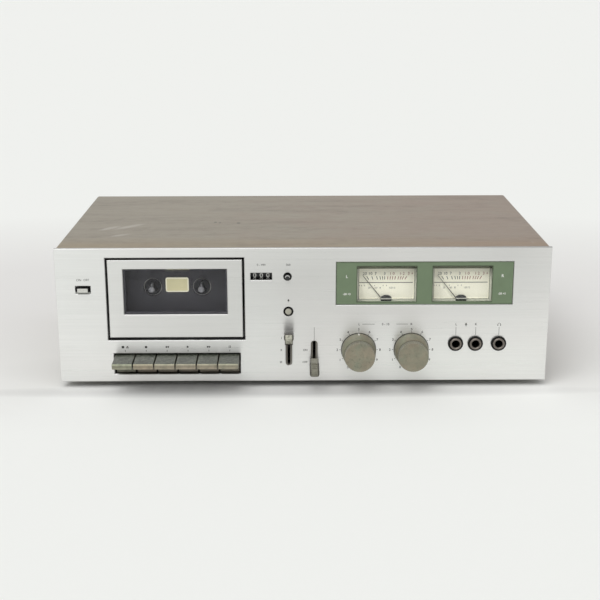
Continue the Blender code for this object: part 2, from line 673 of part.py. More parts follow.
def turned_about(mesh, axis, angle, centre):
    """The mesh, turned by an angle in degrees about an axis through the centre."""
    place = Matrix.Translation(centre)
    mesh.transform(place @ Matrix.Rotation(math.radians(angle), 4, axis) @ place.inverted())
    return mesh


def piece(name, material, base, joined=(), cut=(), pivot=(0, 0, 0), tilt=(0, 0, 0), opened=(), solver="EXACT"):
    """One solid piece with its origin on its pivot.

    It is the base less the opened shapes, then with the joined ones, and then less the cut ones.
    """
    body = bpy.data.objects.new(name, base)
    body.location = pivot
    body.rotation_euler = [math.radians(angle) for angle in tilt]
    body.parent = deck
    base.transform(Matrix.Translation(pivot).inverted())
    base.materials.append(material)
    bpy.context.scene.collection.objects.link(body)
    for step, operation, shapes in (
        ("opened", "DIFFERENCE", opened),
        ("joined", "UNION", joined),
        ("cut", "DIFFERENCE", cut),
    ):
        for count, shape in enumerate(shapes):
            shape.transform(Matrix.Translation(pivot).inverted())
            shape.materials.append(material)
            helper = bpy.data.objects.new(f"{name}_{step}_{count}", shape)
            helper.parent = body
            helper.hide_render = True
            helper.display_type = "WIRE"
            bpy.context.scene.collection.objects.link(helper)
            modifier = body.modifiers.new(helper.name, "BOOLEAN")
            modifier.operation = operation
            modifier.solver = solver
            modifier.object = helper
    for mesh in (base, *opened, *joined, *cut):
        mesh.shade_smooth()
        mesh.set_sharp_from_angle(angle=math.radians(SMOOTH_ANGLE))
    return body


def slot_of(x, z, length, width):
    return slot(x, z - length / 2, z + length / 2, width)


def bush_holes():
    """The round holes for the level controls and the jacks, in the panel and in the frame behind it."""
    holes = [circle(x, KNOB_Z, BUSH_RADIUS + GAP, HIDDEN_STEPS) for x in KNOB_PLACES]
    return holes + [circle(x, JACK_Z, JACK_BUSH_RADIUS + GAP, HIDDEN_STEPS) for x in JACK_PLACES]




def front_panel():
    """The brushed plate that everything on the front looks through."""
    holes = bush_holes() + [
        circle(RESET_X, COUNTER_Z, RESET_HOLE_RADIUS, SMALL_STEPS),
        circle(MICROPHONE_X, MICROPHONE_Z, MICROPHONE_HOLE_RADIUS, SMALL_STEPS),
        rectangle(DOOR_LEFT, DOOR_RIGHT, DOOR_BOTTOM, DOOR_TOP),
        rectangle(KEYS_LEFT, KEYS_RIGHT, KEY_OPENING_BOTTOM, KEY_OPENING_TOP),
        middle_rectangle(POWER_X, POWER_Z, POWER_OPENING_WIDTH, POWER_OPENING_HEIGHT),
        middle_rectangle(COUNTER_X, COUNTER_Z, COUNTER_WINDOW_WIDTH, COUNTER_WINDOW_HEIGHT),
        slot_of(TAPE_LEVER_X, TAPE_SLOT_Z, TAPE_SLOT_LENGTH, SLOT_WIDTH),
        slot_of(NOISE_LEVER_X, NOISE_SLOT_Z, NOISE_SLOT_LENGTH, SLOT_WIDTH),
        rectangle(METER_PLATE_LEFT, METER_PLATE_LEFT + METER_PLATE_WIDTH, METER_BOTTOM, METER_TOP),
    ]
    outline = rectangle(LEFT, RIGHT, 0, FASCIA_HEIGHT)
    piece("front_panel", ALUMINIUM, prism(outline, "y", 0, FASCIA_THICK, FASCIA_EDGE, holes))


def front_frame():
    """The moulded frame, with the door's hinge eyes and the two buttons' sleeves."""
    holes = bush_holes() + [
        rectangle(DOOR_LEFT + FRAME_LIP, DOOR_RIGHT - FRAME_LIP, DOOR_BOTTOM + FRAME_LIP, DOOR_TOP),
        rectangle(KEYS_LEFT, KEYS_RIGHT, FRAME_FOOT + FRAME_SILL, KEY_OPENING_TOP + FRAME_LIP),
        middle_rectangle(POWER_X, POWER_Z, POWER_BUTTON_WIDTH + 2 * GAP, POWER_BUTTON_HEIGHT + 2 * GAP),
        middle_rectangle(COUNTER_X, COUNTER_Z, COUNTER_WINDOW_WIDTH + 2 * FRAME_LIP, COUNTER_FRAME_HEIGHT),
        slot_of(TAPE_LEVER_X, TAPE_SLOT_Z, TAPE_SLOT_LENGTH - 4 * FRAME_LIP, SLOT_CORE_WIDTH),
        slot_of(NOISE_LEVER_X, NOISE_SLOT_Z, NOISE_SLOT_LENGTH - 4 * FRAME_LIP, SLOT_CORE_WIDTH),
        rectangle(LENS_LEFT - GAP, LENS_RIGHT + GAP, LENS_BOTTOM - GAP, LENS_TOP + GAP),
    ]
    outline = rectangle(-INSIDE_HALF, INSIDE_HALF, FRAME_FOOT, INSIDE_TOP)
    bore = BUTTON_STEM_RADIUS + GAP
    joined = []
    cut = []
    for x, z in BUTTON_PLACES:
        joined.append(rod("y", (x, 0, z), bore + SLEEVE_WALL, FRAME_BACK - SINK, SLEEVE_END))
        cut.append(rod("y", (x, 0, z), bore, FRAME_FRONT - OVERRUN, SLEEVE_END + OVERRUN))
    for edge, side in ((DOOR_LEFT, 1), (DOOR_RIGHT, -1)):
        inner = DOOR_X - side * (CARRIER_HALF + GAP)
        outer = edge - side * SINK
        low, high = sorted((inner, outer))
        eye = arc(HINGE_Y, HINGE_Z, HINGE_EYE_RADIUS, -90, 90, 2 * CORNER_STEPS)
        eye_front = FRAME_FRONT + SINK
        eye += [(eye_front, HINGE_Z + HINGE_EYE_RADIUS), (eye_front, HINGE_Z - HINGE_EYE_RADIUS)]
        joined.append(prism(eye, "x", low, high))
        reach = sorted((inner - side * (HINGE_EYE_LENGTH + GAP), inner + side * OVERRUN))
        cut.append(rod("x", (0, HINGE_Y, HINGE_Z), HINGE_PIN_RADIUS + GAP, *reach))
    opened = [prism(hole, "y", FRAME_FRONT - OVERRUN, FRAME_BACK + OVERRUN) for hole in holes]
    base = prism(outline, "y", FRAME_FRONT, FRAME_BACK)
    piece("front_frame", BLACK, base, joined, cut, opened=opened, solver="MANIFOLD")


def case():
    """Cover, tray, rear panel and feet."""
    outer = arc(COVER_HALF - COVER_BEND, COVER_TOP - COVER_BEND, COVER_BEND, 0, 90, CORNER_STEPS)
    outer += arc(COVER_BEND - COVER_HALF, COVER_TOP - COVER_BEND, COVER_BEND, 90, 180, CORNER_STEPS)
    inner_half = COVER_HALF - SHEET
    inner_top = COVER_TOP - SHEET
    bend = COVER_BEND - SHEET
    inner = arc(bend - inner_half, inner_top - bend, bend, 180, 90, CORNER_STEPS)
    inner += arc(inner_half - bend, inner_top - bend, bend, 90, 0, CORNER_STEPS)
    outline = [(COVER_HALF, CASE_FOOT), *outer, (-COVER_HALF, CASE_FOOT)]
    outline += [(-inner_half, CASE_FOOT), *inner, (inner_half, CASE_FOOT)]
    piece("top_cover", VINYL, prism(outline, "y", FRAME_FRONT, COVER_DEPTH))

    half = INSIDE_HALF
    tray = [
        (half, CASE_FOOT),
        (half, CASE_FOOT + TRAY_FLANGE),
        (half - SHEET, CASE_FOOT + TRAY_FLANGE),
        (half - SHEET, FLOOR),
        (SHEET - half, FLOOR),
        (SHEET - half, CASE_FOOT + TRAY_FLANGE),
        (-half, CASE_FOOT + TRAY_FLANGE),
        (-half, CASE_FOOT),
    ]
    piece("chassis_tray", STEEL, prism(tray, "y", FRAME_BACK + GAP, REAR_FRONT - GAP))

    holes = [
        middle_rectangle(LINE_X, LINE_Z, LINE_BLOCK + 2 * GAP, LINE_BLOCK + 2 * GAP),
        circle(BUSHING_X, BUSHING_Z, BUSHING_RADIUS + GAP, SMALL_STEPS),
    ]
    outline = rectangle(-INSIDE_HALF, INSIDE_HALF, CASE_FOOT, INSIDE_TOP)
    piece("rear_panel", STEEL, prism(outline, "y", REAR_FRONT, REAR_BACK, 0, holes))

    foot = [
        (0, -PANEL_RAISE),
        (FOOT_TOP_RADIUS - FOOT_EDGE, -PANEL_RAISE),
        (FOOT_TOP_RADIUS, FOOT_EDGE - PANEL_RAISE),
        (FOOT_RADIUS, FOOT_HEIGHT - PANEL_RAISE),
        (0, FOOT_HEIGHT - PANEL_RAISE),
    ]
    rear_y = COVER_DEPTH - FOOT_INSET_REAR
    for name, side, y in (
        ("foot_front_left", -1, FOOT_INSET_FRONT),
        ("foot_front_right", 1, FOOT_INSET_FRONT),
        ("foot_rear_left", -1, rear_y),
        ("foot_rear_right", 1, rear_y),
    ):
        piece(name, RUBBER, turned(foot, "z", (side * (COVER_HALF - FOOT_INSET_X), y, 0), SMALL_STEPS))


def cassette_door():
    """The plate, its smoked window and the carrier that holds the cassette, which swing together."""
    hinge = (DOOR_X, HINGE_Y, HINGE_Z)
    plate = rectangle(PLATE_LEFT, PLATE_RIGHT, PLATE_BOTTOM, PLATE_TOP)
    window = rectangle(WINDOW_LEFT, WINDOW_RIGHT, WINDOW_BOTTOM, WINDOW_TOP)
    piece("door_plate", ALUMINIUM, prism(plate, "y", 0, DOOR_PLATE_THICK, FASCIA_EDGE, [window]), pivot=hinge)

    pane = block(
        WINDOW_LEFT + GAP, WINDOW_RIGHT - GAP, WINDOW_RECESS, DOOR_PLATE_THICK,
        WINDOW_BOTTOM + GAP, WINDOW_TOP - GAP,
    )
    piece("door_window", SMOKE, pane, pivot=hinge)

    front = rectangle(DOOR_X - CARRIER_HALF, DOOR_X + CARRIER_HALF, PLATE_BOTTOM + SINK, PLATE_TOP - SINK)
    opening = rectangle(
        WINDOW_LEFT + WINDOW_LEDGE, WINDOW_RIGHT - WINDOW_LEDGE,
        WINDOW_BOTTOM + WINDOW_LEDGE, WINDOW_TOP - WINDOW_LEDGE,
    )
    base = prism(front, "y", CARRIER_FRONT, CARRIER_FRONT + CARRIER_WALL, 0, [opening])
    wall_top = PLATE_TOP - CARRIER_LIP
    cheek = [
        (CARRIER_FRONT + SINK, PLATE_BOTTOM + SINK),
        (HINGE_Y + HINGE_EYE_RADIUS, PLATE_BOTTOM + SINK),
        (CARRIER_BACK, HINGE_Z + CARRIER_WALL),
        (CARRIER_BACK, wall_top),
        (CARRIER_FRONT + SINK, wall_top),
    ]
    ledge_top = CASSETTE_BOTTOM - CASSETTE_PLAY
    ledge_bottom = ledge_top - CARRIER_WALL
    joined = []
    for side in (-1, 1):
        outer = DOOR_X + side * CARRIER_HALF
        inner = DOOR_X + side * CARRIER_INNER_HALF
        joined.append(prism(cheek, "x", *sorted((inner, outer))))
        lip = sorted((inner - side * CARRIER_LIP, inner + side * SINK))
        joined.append(block(*lip, CARRIER_BACK - CARRIER_WALL, CARRIER_BACK, ledge_top - SINK, wall_top))
        ledge = sorted((inner - side * CARRIER_LEDGE_LENGTH, inner + side * SINK))
        joined.append(block(*ledge, CARRIER_FRONT + SINK, CARRIER_BACK, ledge_bottom, ledge_top))
        pin = sorted((outer - side * SINK, outer + side * HINGE_EYE_LENGTH))
        joined.append(rod("x", (0, HINGE_Y, HINGE_Z), HINGE_PIN_RADIUS, *pin))
    piece("door_carrier", BLACK, base, joined, pivot=hinge)


def cassette_well():
    """The moulded box behind the door, open at the foot for the heads."""
    outline = rectangle(DOOR_X - WELL_HALF, DOOR_X + WELL_HALF, WELL_BOTTOM, WELL_TOP)
    room_half = WELL_HALF - WELL_WALL
    room = rectangle(DOOR_X - room_half, DOOR_X + room_half, WELL_BOTTOM + WELL_WALL, WELL_TOP - WELL_WALL)
    recesses = [circle(x, SPINDLE_Z, RECESS_RADIUS) for x in SPINDLE_PLACES]
    back = prism(outline, "y", WELL_FACE, WELL_BACK, 0, recesses)
    notch = block(
        DOOR_X - WELL_OPENING_HALF, DOOR_X + WELL_OPENING_HALF, WELL_FRONT - OVERRUN, WELL_BACK + OVERRUN,
        WELL_BOTTOM - OVERRUN, CAPSTAN_Z + CAPSTAN_RADIUS + WELL_OPENING_GAP,
    )
    walls = prism(outline, "y", WELL_FRONT, WELL_FACE + SINK, 0, [room])
    piece("cassette_well", BLACK, back, [walls], [notch])

    middle = SPINDLE_Z + REFLECTOR_RISE
    reflector = middle_rectangle(DOOR_X, middle, REFLECTOR_WIDTH, REFLECTOR_HEIGHT, REFLECTOR_CORNER)
    back = WELL_FACE - GAP
    piece("light_reflector", CREAM, prism(reflector, "y", back - REFLECTOR_THICK, back, REFLECTOR_EDGE))


def transport():
    """The steel plate with two ears, which carries the keys' shaft, the reels, the capstan and the motor."""
    outline = rectangle(DOOR_X - EAR_OUTER_HALF, DOOR_X + EAR_OUTER_HALF, BRIDGE_BOTTOM, WELL_TOP)
    holes = [circle(x, SPINDLE_Z, SPINDLE_SHAFT_RADIUS + GAP, SMALL_STEPS) for x in SPINDLE_PLACES]
    holes.append(circle(CAPSTAN_X, CAPSTAN_Z, CAPSTAN_RADIUS + GAP, SMALL_STEPS))
    base = prism(outline, "y", TRANSPORT_FRONT, TRANSPORT_BACK, 0, holes)
    bush = [
        (CAPSTAN_RADIUS + GAP, TRANSPORT_BACK - SINK),
        (CAPSTAN_BUSH_RADIUS, TRANSPORT_BACK - SINK),
        (CAPSTAN_BUSH_RADIUS, TRANSPORT_BACK + CAPSTAN_BUSH_LENGTH),
        (CAPSTAN_RADIUS + GAP, TRANSPORT_BACK + CAPSTAN_BUSH_LENGTH),
    ]
    joined = [turned(bush, "y", (CAPSTAN_X, 0, CAPSTAN_Z), SMALL_STEPS)]
    for side in (-1, 1):
        post = (MOTOR_X, 0, CAPSTAN_Z + side * MOTOR_POST_OFFSET)
        joined.append(rod("y", post, MOTOR_POST_RADIUS, TRANSPORT_BACK - SINK, MOTOR_FRONT - GAP))
    for x in STUD_PLACES:
        stud = [
            (0, BRIDGE_FRONT - GAP - BRIDGE_STUD_HEAD_THICK),
            (BRIDGE_STUD_HEAD, BRIDGE_FRONT - GAP - BRIDGE_STUD_HEAD_THICK),
            (BRIDGE_STUD_HEAD, BRIDGE_FRONT - GAP),
            (BRIDGE_STUD_RADIUS, BRIDGE_FRONT - GAP),
            (BRIDGE_STUD_RADIUS, TRANSPORT_FRONT + SINK),
            (0, TRANSPORT_FRONT + SINK),
        ]
        joined.append(turned(stud, "y", (x, 0, STUD_Z), HIDDEN_STEPS))
    ear = [
        (TRANSPORT_FRONT, FLOOR + GAP),
        (KEY_SHAFT_Y + EAR_REACH, FLOOR + GAP),
        (KEY_SHAFT_Y + EAR_REACH, KEY_SHAFT_Z + EAR_REACH),
        (TRANSPORT_BACK + EAR_SHOULDER, CAPSTAN_Z),
        (TRANSPORT_FRONT, CAPSTAN_Z),
    ]
    shaft_holes = []
    for side in (-1, 1):
        inner = DOOR_X + side * EAR_INNER_HALF
        outer = DOOR_X + side * EAR_OUTER_HALF
        joined.append(prism(ear, "x", *sorted((inner, outer))))
        foot = sorted((inner - side * EAR_FOOT_LENGTH, inner + side * SINK))
        joined.append(
            block(*foot, TRANSPORT_BACK, KEY_SHAFT_Y + EAR_REACH, FLOOR + GAP, FLOOR + GAP + TRANSPORT_THICK)
        )
        reach = sorted((inner - side * OVERRUN, outer + side * OVERRUN))
        shaft_holes.append(rod("x", (0, KEY_SHAFT_Y, KEY_SHAFT_Z), KEY_SHAFT_RADIUS + GAP, *reach))
    piece("transport_plate", STEEL, base, joined, shaft_holes)


def reels():
    """The two reel spindles, each with three fins for the cassette's hub."""
    tip = WELL_FACE - SPINDLE_PROUD
    table_back = TRANSPORT_FRONT - GAP
    profile = [
        (0, tip),
        (SPINDLE_TIP_RADIUS, tip),
        (SPINDLE_RADIUS, tip + SPINDLE_TIP_LENGTH),
        (SPINDLE_RADIUS, table_back - REEL_TABLE_THICK),
        (REEL_TABLE_RADIUS, table_back - REEL_TABLE_THICK),
        (REEL_TABLE_RADIUS, table_back),
        (SPINDLE_SHAFT_RADIUS, table_back),
        (SPINDLE_SHAFT_RADIUS, TRANSPORT_BACK + SPINDLE_TAIL),
        (0, TRANSPORT_BACK + SPINDLE_TAIL),
    ]
    for name, x in zip(("supply_spindle", "takeup_spindle"), SPINDLE_PLACES):
        centre = (x, 0, SPINDLE_Z)
        fins = []
        for count in range(FIN_COUNT):
            fin = block(
                x - FIN_THICK / 2, x + FIN_THICK / 2, tip + FIN_SETBACK, table_back - REEL_TABLE_THICK + SINK,
                SPINDLE_Z + SPINDLE_RADIUS / 2, SPINDLE_Z + FIN_RADIUS,
            )
            fins.append(turned_about(fin, "Y", 360 / FIN_COUNT * count, centre))
        piece(name, BLACK, turned(profile, "y", centre, SMALL_STEPS), fins, pivot=centre)


def drive():
    """Capstan with its flywheel, the motor, its pulley and the flat belt."""
    back = FLYWHEEL_BACK
    front = FLYWHEEL_FRONT
    inner = FLYWHEEL_RADIUS - FLYWHEEL_RIM
    profile = [
        (0, CAPSTAN_TIP),
        (CAPSTAN_RADIUS, CAPSTAN_TIP),
        (CAPSTAN_RADIUS, front),
        (FLYWHEEL_HUB_RADIUS, front),
        (FLYWHEEL_HUB_RADIUS, front + FLYWHEEL_DISH),
        (inner, front + FLYWHEEL_DISH),
        (inner, front),
        (FLYWHEEL_RADIUS, front),
        (FLYWHEEL_RADIUS, back),
        (inner, back),
        (inner, back - FLYWHEEL_DISH),
        (FLYWHEEL_HUB_RADIUS, back - FLYWHEEL_DISH),
        (FLYWHEEL_HUB_RADIUS, back),
        (CAPSTAN_RADIUS, back),
        (CAPSTAN_RADIUS, back + CAPSTAN_TAIL),
        (0, back + CAPSTAN_TAIL),
    ]
    capstan = (CAPSTAN_X, 0, CAPSTAN_Z)
    piece("capstan_flywheel", BRIGHT, turned(profile, "y", capstan, SMALL_STEPS), pivot=capstan)

    motor = (MOTOR_X, 0, CAPSTAN_Z)
    seat = MOTOR_SHAFT_RADIUS + GAP
    profile = [
        (0, MOTOR_FRONT + MOTOR_SHAFT_SEAT),
        (seat, MOTOR_FRONT + MOTOR_SHAFT_SEAT),
        (seat, MOTOR_FRONT),
        (MOTOR_RADIUS, MOTOR_FRONT),
        (MOTOR_RADIUS, MOTOR_FRONT + MOTOR_LENGTH),
        (MOTOR_BOSS_RADIUS, MOTOR_FRONT + MOTOR_LENGTH),
        (MOTOR_BOSS_RADIUS, MOTOR_FRONT + MOTOR_LENGTH + MOTOR_BOSS_LENGTH),
        (0, MOTOR_FRONT + MOTOR_LENGTH + MOTOR_BOSS_LENGTH),
    ]
    piece("drive_motor", STEEL, turned(profile, "y", motor, SMALL_STEPS))

    rim = PULLEY_RADIUS + PULLEY_FLANGE
    start = BELT_MIDDLE - BELT_WIDTH / 2 - GAP
    end = BELT_MIDDLE + BELT_WIDTH / 2 + GAP
    profile = [
        (0, start - PULLEY_FLANGE),
        (rim, start - PULLEY_FLANGE),
        (rim, start),
        (PULLEY_RADIUS, start),
        (PULLEY_RADIUS, end),
        (rim, end),
        (rim, end + PULLEY_FLANGE),
        (MOTOR_SHAFT_RADIUS, end + PULLEY_FLANGE),
        (MOTOR_SHAFT_RADIUS, MOTOR_FRONT + MOTOR_SHAFT_SEAT - GAP),
        (0, MOTOR_FRONT + MOTOR_SHAFT_SEAT - GAP),
    ]
    piece("motor_pulley", BRIGHT, turned(profile, "y", motor, SMALL_STEPS), pivot=motor)

    def belt_loop(extra):
        lean = math.degrees(math.asin((FLYWHEEL_RADIUS - PULLEY_RADIUS) / (CAPSTAN_X - MOTOR_X)))
        wheel = arc(CAPSTAN_X, CAPSTAN_Z, FLYWHEEL_RADIUS + extra, -90 - lean, 90 + lean, SMALL_STEPS)
        small = arc(MOTOR_X, CAPSTAN_Z, PULLEY_RADIUS + extra, 90 + lean, 270 - lean, 2 * CORNER_STEPS)
        return wheel + small

    outer = belt_loop(GAP + BELT_THICK)
    belt = prism(outer, "y", BELT_MIDDLE - BELT_WIDTH / 2, BELT_MIDDLE + BELT_WIDTH / 2, 0, [belt_loop(GAP)])
    piece("drive_belt", RUBBER, belt)


def head_bridge():
    """The sliding bridge with the record head, the erase head and the pinch roller."""
    origin = (DOOR_X, BRIDGE_FRONT, BRIDGE_TOP)
    reach = BRIDGE_STUD_RADIUS + GAP
    slots = [slot(x, STUD_Z - BRIDGE_TRAVEL - reach, STUD_Z + reach, 2 * reach) for x in STUD_PLACES]
    outline = rectangle(DOOR_X - BRIDGE_HALF, DOOR_X + BRIDGE_HALF, BRIDGE_BOTTOM, BRIDGE_TOP)
    pin_front = PINCH_MIDDLE - PINCH_WIDTH / 2
    pin = rod("y", (CAPSTAN_X, 0, PINCH_Z), PINCH_PIN_RADIUS, pin_front, BRIDGE_FRONT + SINK)
    piece("head_bridge", STEEL, prism(outline, "y", BRIDGE_FRONT, BRIDGE_BACK, 0, slots), [pin], pivot=origin)

    front = FRAME_BACK + HEAD_SETBACK
    for name, x, width, drop in (
        ("record_play_head", DOOR_X, HEAD_WIDTH, HEAD_DROP),
        ("erase_head", DOOR_X - ERASE_HEAD_OFFSET, ERASE_HEAD_WIDTH, HEAD_DROP + ERASE_HEAD_DROP),
    ):
        top = CASSETTE_BOTTOM - drop
        crown = top - HEAD_CROWN
        outline = [(x - width / 2, top - HEAD_HEIGHT), (x + width / 2, top - HEAD_HEIGHT)]
        unit_arc = arc(0, 0, 1, 0, 180, 2 * CORNER_STEPS)
        outline += [(x + width / 2 * across, crown + HEAD_CROWN * up) for across, up in unit_arc]
        piece(name, BRIGHT, prism(outline, "y", front, BRIDGE_FRONT - GAP), pivot=origin)

    bore = PINCH_PIN_RADIUS + GAP
    low = PINCH_MIDDLE - PINCH_WIDTH / 2
    high = PINCH_MIDDLE + PINCH_WIDTH / 2
    profile = [
        (bore, low - PINCH_HUB_PROUD),
        (PINCH_HUB_RADIUS, low - PINCH_HUB_PROUD),
        (PINCH_HUB_RADIUS, low),
        (PINCH_RADIUS, low),
        (PINCH_RADIUS, high),
        (PINCH_HUB_RADIUS, high),
        (PINCH_HUB_RADIUS, high + PINCH_HUB_PROUD),
        (bore, high + PINCH_HUB_PROUD),
    ]
    roller = (CAPSTAN_X, PINCH_MIDDLE, PINCH_Z)
    piece("pinch_roller", RUBBER, turned(profile, "y", (CAPSTAN_X, 0, PINCH_Z), SMALL_STEPS), pivot=roller)


def keys():
    """Six piano keys on one shaft: a cap in front of the panel, a plate behind it and an arm."""
    clip_inner = EAR_OUTER_HALF + GAP
    clip_outer = clip_inner + KEY_SHAFT_CLIP_LENGTH
    shaft = [(0, -clip_outer)]
    for side in (-1, 1):
        clip = [
            (KEY_SHAFT_CLIP_RADIUS, side * clip_outer),
            (KEY_SHAFT_CLIP_RADIUS, side * clip_inner),
            (KEY_SHAFT_RADIUS, side * clip_inner),
        ]
        shaft += clip[::-side]
    shaft.append((0, clip_outer))
    piece("key_shaft", STEEL, turned(shaft, "x", (DOOR_X, KEY_SHAFT_Y, KEY_SHAFT_Z), SMALL_STEPS))

    plate_front = FASCIA_THICK + KEY_PLATE_GAP
    plate_back = plate_front + KEY_PLATE_THICK
    cap = [
        (-KEY_REACH, KEY_LIP_BOTTOM),
        (KEY_UNDERCUT - KEY_REACH, KEY_UNDERSIDE),
        (plate_back, KEY_UNDERSIDE),
        (plate_back, KEY_TOP),
        (0, KEY_TOP),
        (-KEY_REACH, KEY_LIP_TOP),
    ]
    plate_top = KEY_UNDERSIDE + SINK
    pivot_y = KEY_SHAFT_Y
    pivot_z = KEY_SHAFT_Z
    for count, name in enumerate(KEY_NAMES):
        x = DOOR_X - KEYS_HALF + (count + 0.5) * KEY_PITCH
        half = (KEY_PITCH - KEY_SPLIT) / 2
        plate_half = (KEY_PITCH - KEY_PLATE_SPLIT) / 2
        arm_half = KEY_ARM_WIDTH / 2
        joined = [
            block(x - plate_half, x + plate_half, plate_front, plate_back, KEY_PLATE_BOTTOM, plate_top),
            block(x - arm_half, x + arm_half, plate_front + SINK, pivot_y, KEY_ARM_BOTTOM, KEY_ARM_TOP),
            rod("x", (0, pivot_y, pivot_z), KEY_HUB_RADIUS, x - half, x + half),
        ]
        cut = [rod("x", (0, pivot_y, pivot_z), KEY_SHAFT_RADIUS + GAP, x - half - OVERRUN, x + half + OVERRUN)]
        piece(name, KEY_GREY, prism(cap, "x", x - half, x + half, KEY_EDGE), joined, cut, (x, pivot_y, pivot_z))


def power():
    """The push button and the mains switch that it works."""
    back = FRAME_BACK
    width = POWER_BUTTON_WIDTH / 2
    height = POWER_BUTTON_HEIGHT / 2
    stem = POWER_STEM_WIDTH / 2
    origin = (POWER_X, 0, POWER_Z)
    cap = block(
        POWER_X - width, POWER_X + width, -POWER_BUTTON_PROUD, back,
        POWER_Z - height, POWER_Z + height, POWER_BUTTON_EDGE,
    )
    tail = block(
        POWER_X - stem, POWER_X + stem, back - SINK - POWER_BUTTON_EDGE, back + POWER_STEM_LENGTH,
        POWER_Z - stem, POWER_Z + stem,
    )
    piece("power_button", KEY_GREY, cap, [tail], pivot=origin)

    front = FRAME_BACK + GAP
    left = POWER_X - SWITCH_WIDTH / 2
    right = POWER_X + SWITCH_WIDTH / 2
    bottom = POWER_Z - SWITCH_HEIGHT / 2
    top = POWER_Z + SWITCH_HEIGHT / 2
    end = front + SWITCH_LENGTH
    mouth = block(
        POWER_X - width - GAP, POWER_X + width + GAP, front - OVERRUN, front + POWER_TRAVEL + GAP,
        POWER_Z - height - GAP, POWER_Z + height + GAP,
    )
    bore_end = back + POWER_STEM_LENGTH + POWER_TRAVEL + GAP
    room = stem + GAP
    bore = block(POWER_X - room, POWER_X + room, front, bore_end, POWER_Z - room, POWER_Z + room)
    lugs = []
    for side in (-1, 1):
        middle = POWER_X + side * SWITCH_WIDTH / 4
        lugs.append(
            block(
                middle - SWITCH_LUG_WIDTH / 2, middle + SWITCH_LUG_WIDTH / 2,
                end - SINK, end + SWITCH_LUG_LENGTH,
                POWER_Z - SWITCH_LUG_THICK / 2, POWER_Z + SWITCH_LUG_THICK / 2,
            )
        )
    piece("power_switch", BLACK, block(left, right, front, end, bottom, top), lugs, [mouth, bore])


def counter():
    """The counter's frame with its axle, and three number wheels."""
    half = 1.5 * COUNTER_WHEEL_PITCH + GAP
    front = FRAME_BACK + GAP
    back = COUNTER_AXLE_Y + COUNTER_WHEEL_RADIUS + COUNTER_BACK_GAP
    low = COUNTER_Z - COUNTER_CHEEK_HEIGHT / 2
    high = COUNTER_Z + COUNTER_CHEEK_HEIGHT / 2
    outer = half + COUNTER_SIDE_THICK
    channel = [
        (COUNTER_X - outer, front),
        (COUNTER_X - half, front),
        (COUNTER_X - half, back),
        (COUNTER_X + half, back),
        (COUNTER_X + half, front),
        (COUNTER_X + outer, front),
        (COUNTER_X + outer, back + COUNTER_SIDE_THICK),
        (COUNTER_X - outer, back + COUNTER_SIDE_THICK),
    ]
    axle_half = half + SINK
    centre = (COUNTER_X, COUNTER_AXLE_Y, COUNTER_Z)
    axle = rod("x", centre, COUNTER_AXLE_RADIUS, -axle_half, axle_half)
    piece("counter_housing", BLACK, prism(channel, "z", low, high), [axle])
    for name, place in zip(COUNTER_NAMES, (-1, 0, 1)):
        x = COUNTER_X + place * COUNTER_WHEEL_PITCH
        bore = COUNTER_AXLE_RADIUS + GAP
        start = -COUNTER_WHEEL_WIDTH / 2
        end = COUNTER_WHEEL_WIDTH / 2
        profile = [(bore, start), (COUNTER_WHEEL_RADIUS, start), (COUNTER_WHEEL_RADIUS, end), (bore, end)]
        centre = (x, COUNTER_AXLE_Y, COUNTER_Z)
        piece(name, BLACK, turned(profile, "x", centre), pivot=centre)


def push_button(name, material, x, z, radius, proud):
    """A round button whose stem runs through the frame's sleeve to a collar."""
    head_back = FRAME_FRONT - GAP - BUTTON_TRAVEL
    collar = SLEEVE_END + GAP
    profile = [
        (0, -proud),
        (radius - BUTTON_EDGE, -proud),
        (radius, BUTTON_EDGE - proud),
        (radius, head_back),
        (BUTTON_STEM_RADIUS, head_back),
        (BUTTON_STEM_RADIUS, collar),
        (BUTTON_COLLAR_RADIUS, collar),
        (BUTTON_COLLAR_RADIUS, collar + BUTTON_COLLAR_LENGTH),
        (0, collar + BUTTON_COLLAR_LENGTH),
    ]
    piece(name, material, turned(profile, "y", (x, 0, z), SMALL_STEPS), pivot=(x, 0, z))


def lever(name, x, z, rest_angle):
    """A steel blade from the pivot through the slot, with a moulded grip that has ribs across it."""
    pivot_y = LEVER_PIVOT_DEPTH
    tip = pivot_y - LEVER_LENGTH
    grip_back = tip + LEVER_GRIP_LENGTH
    half = LEVER_GRIP_WIDTH / 2
    tall = LEVER_GRIP_HEIGHT / 2
    grip = block(x - half, x + half, tip, grip_back, z - tall, z + tall, LEVER_GRIP_EDGE)
    blade_half = LEVER_BLADE_WIDTH / 2
    blade_tall = LEVER_BLADE_HEIGHT / 2
    blade_start = grip_back - LEVER_GRIP_EDGE
    blade = block(x - blade_half, x + blade_half, blade_start, pivot_y, z - blade_tall, z + blade_tall)
    hub = rod("x", (0, pivot_y, z), LEVER_HUB_RADIUS, x - LEVER_HUB_WIDTH / 2, x + LEVER_HUB_WIDTH / 2)
    bore = rod("x", (0, pivot_y, z), LEVER_PIN_RADIUS + GAP, x - LEVER_HUB_WIDTH, x + LEVER_HUB_WIDTH)
    cut = [bore]
    for count in range(LEVER_RIB_COUNT):
        middle = tip + LEVER_GRIP_LENGTH * (count + 1.5) / (LEVER_RIB_COUNT + 2)
        for side in (-1, 1):
            low, high = sorted((z + side * (tall - LEVER_RIB_DEPTH), z + side * (tall + OVERRUN)))
            cut.append(
                block(
                    x - half - OVERRUN, x + half + OVERRUN,
                    middle - LEVER_RIB_WIDTH / 2, middle + LEVER_RIB_WIDTH / 2, low, high,
                )
            )
    piece(name, KNOB_GREY, grip, [blade, hub], cut, (x, pivot_y, z), (-rest_angle, 0, 0), solver="MANIFOLD")


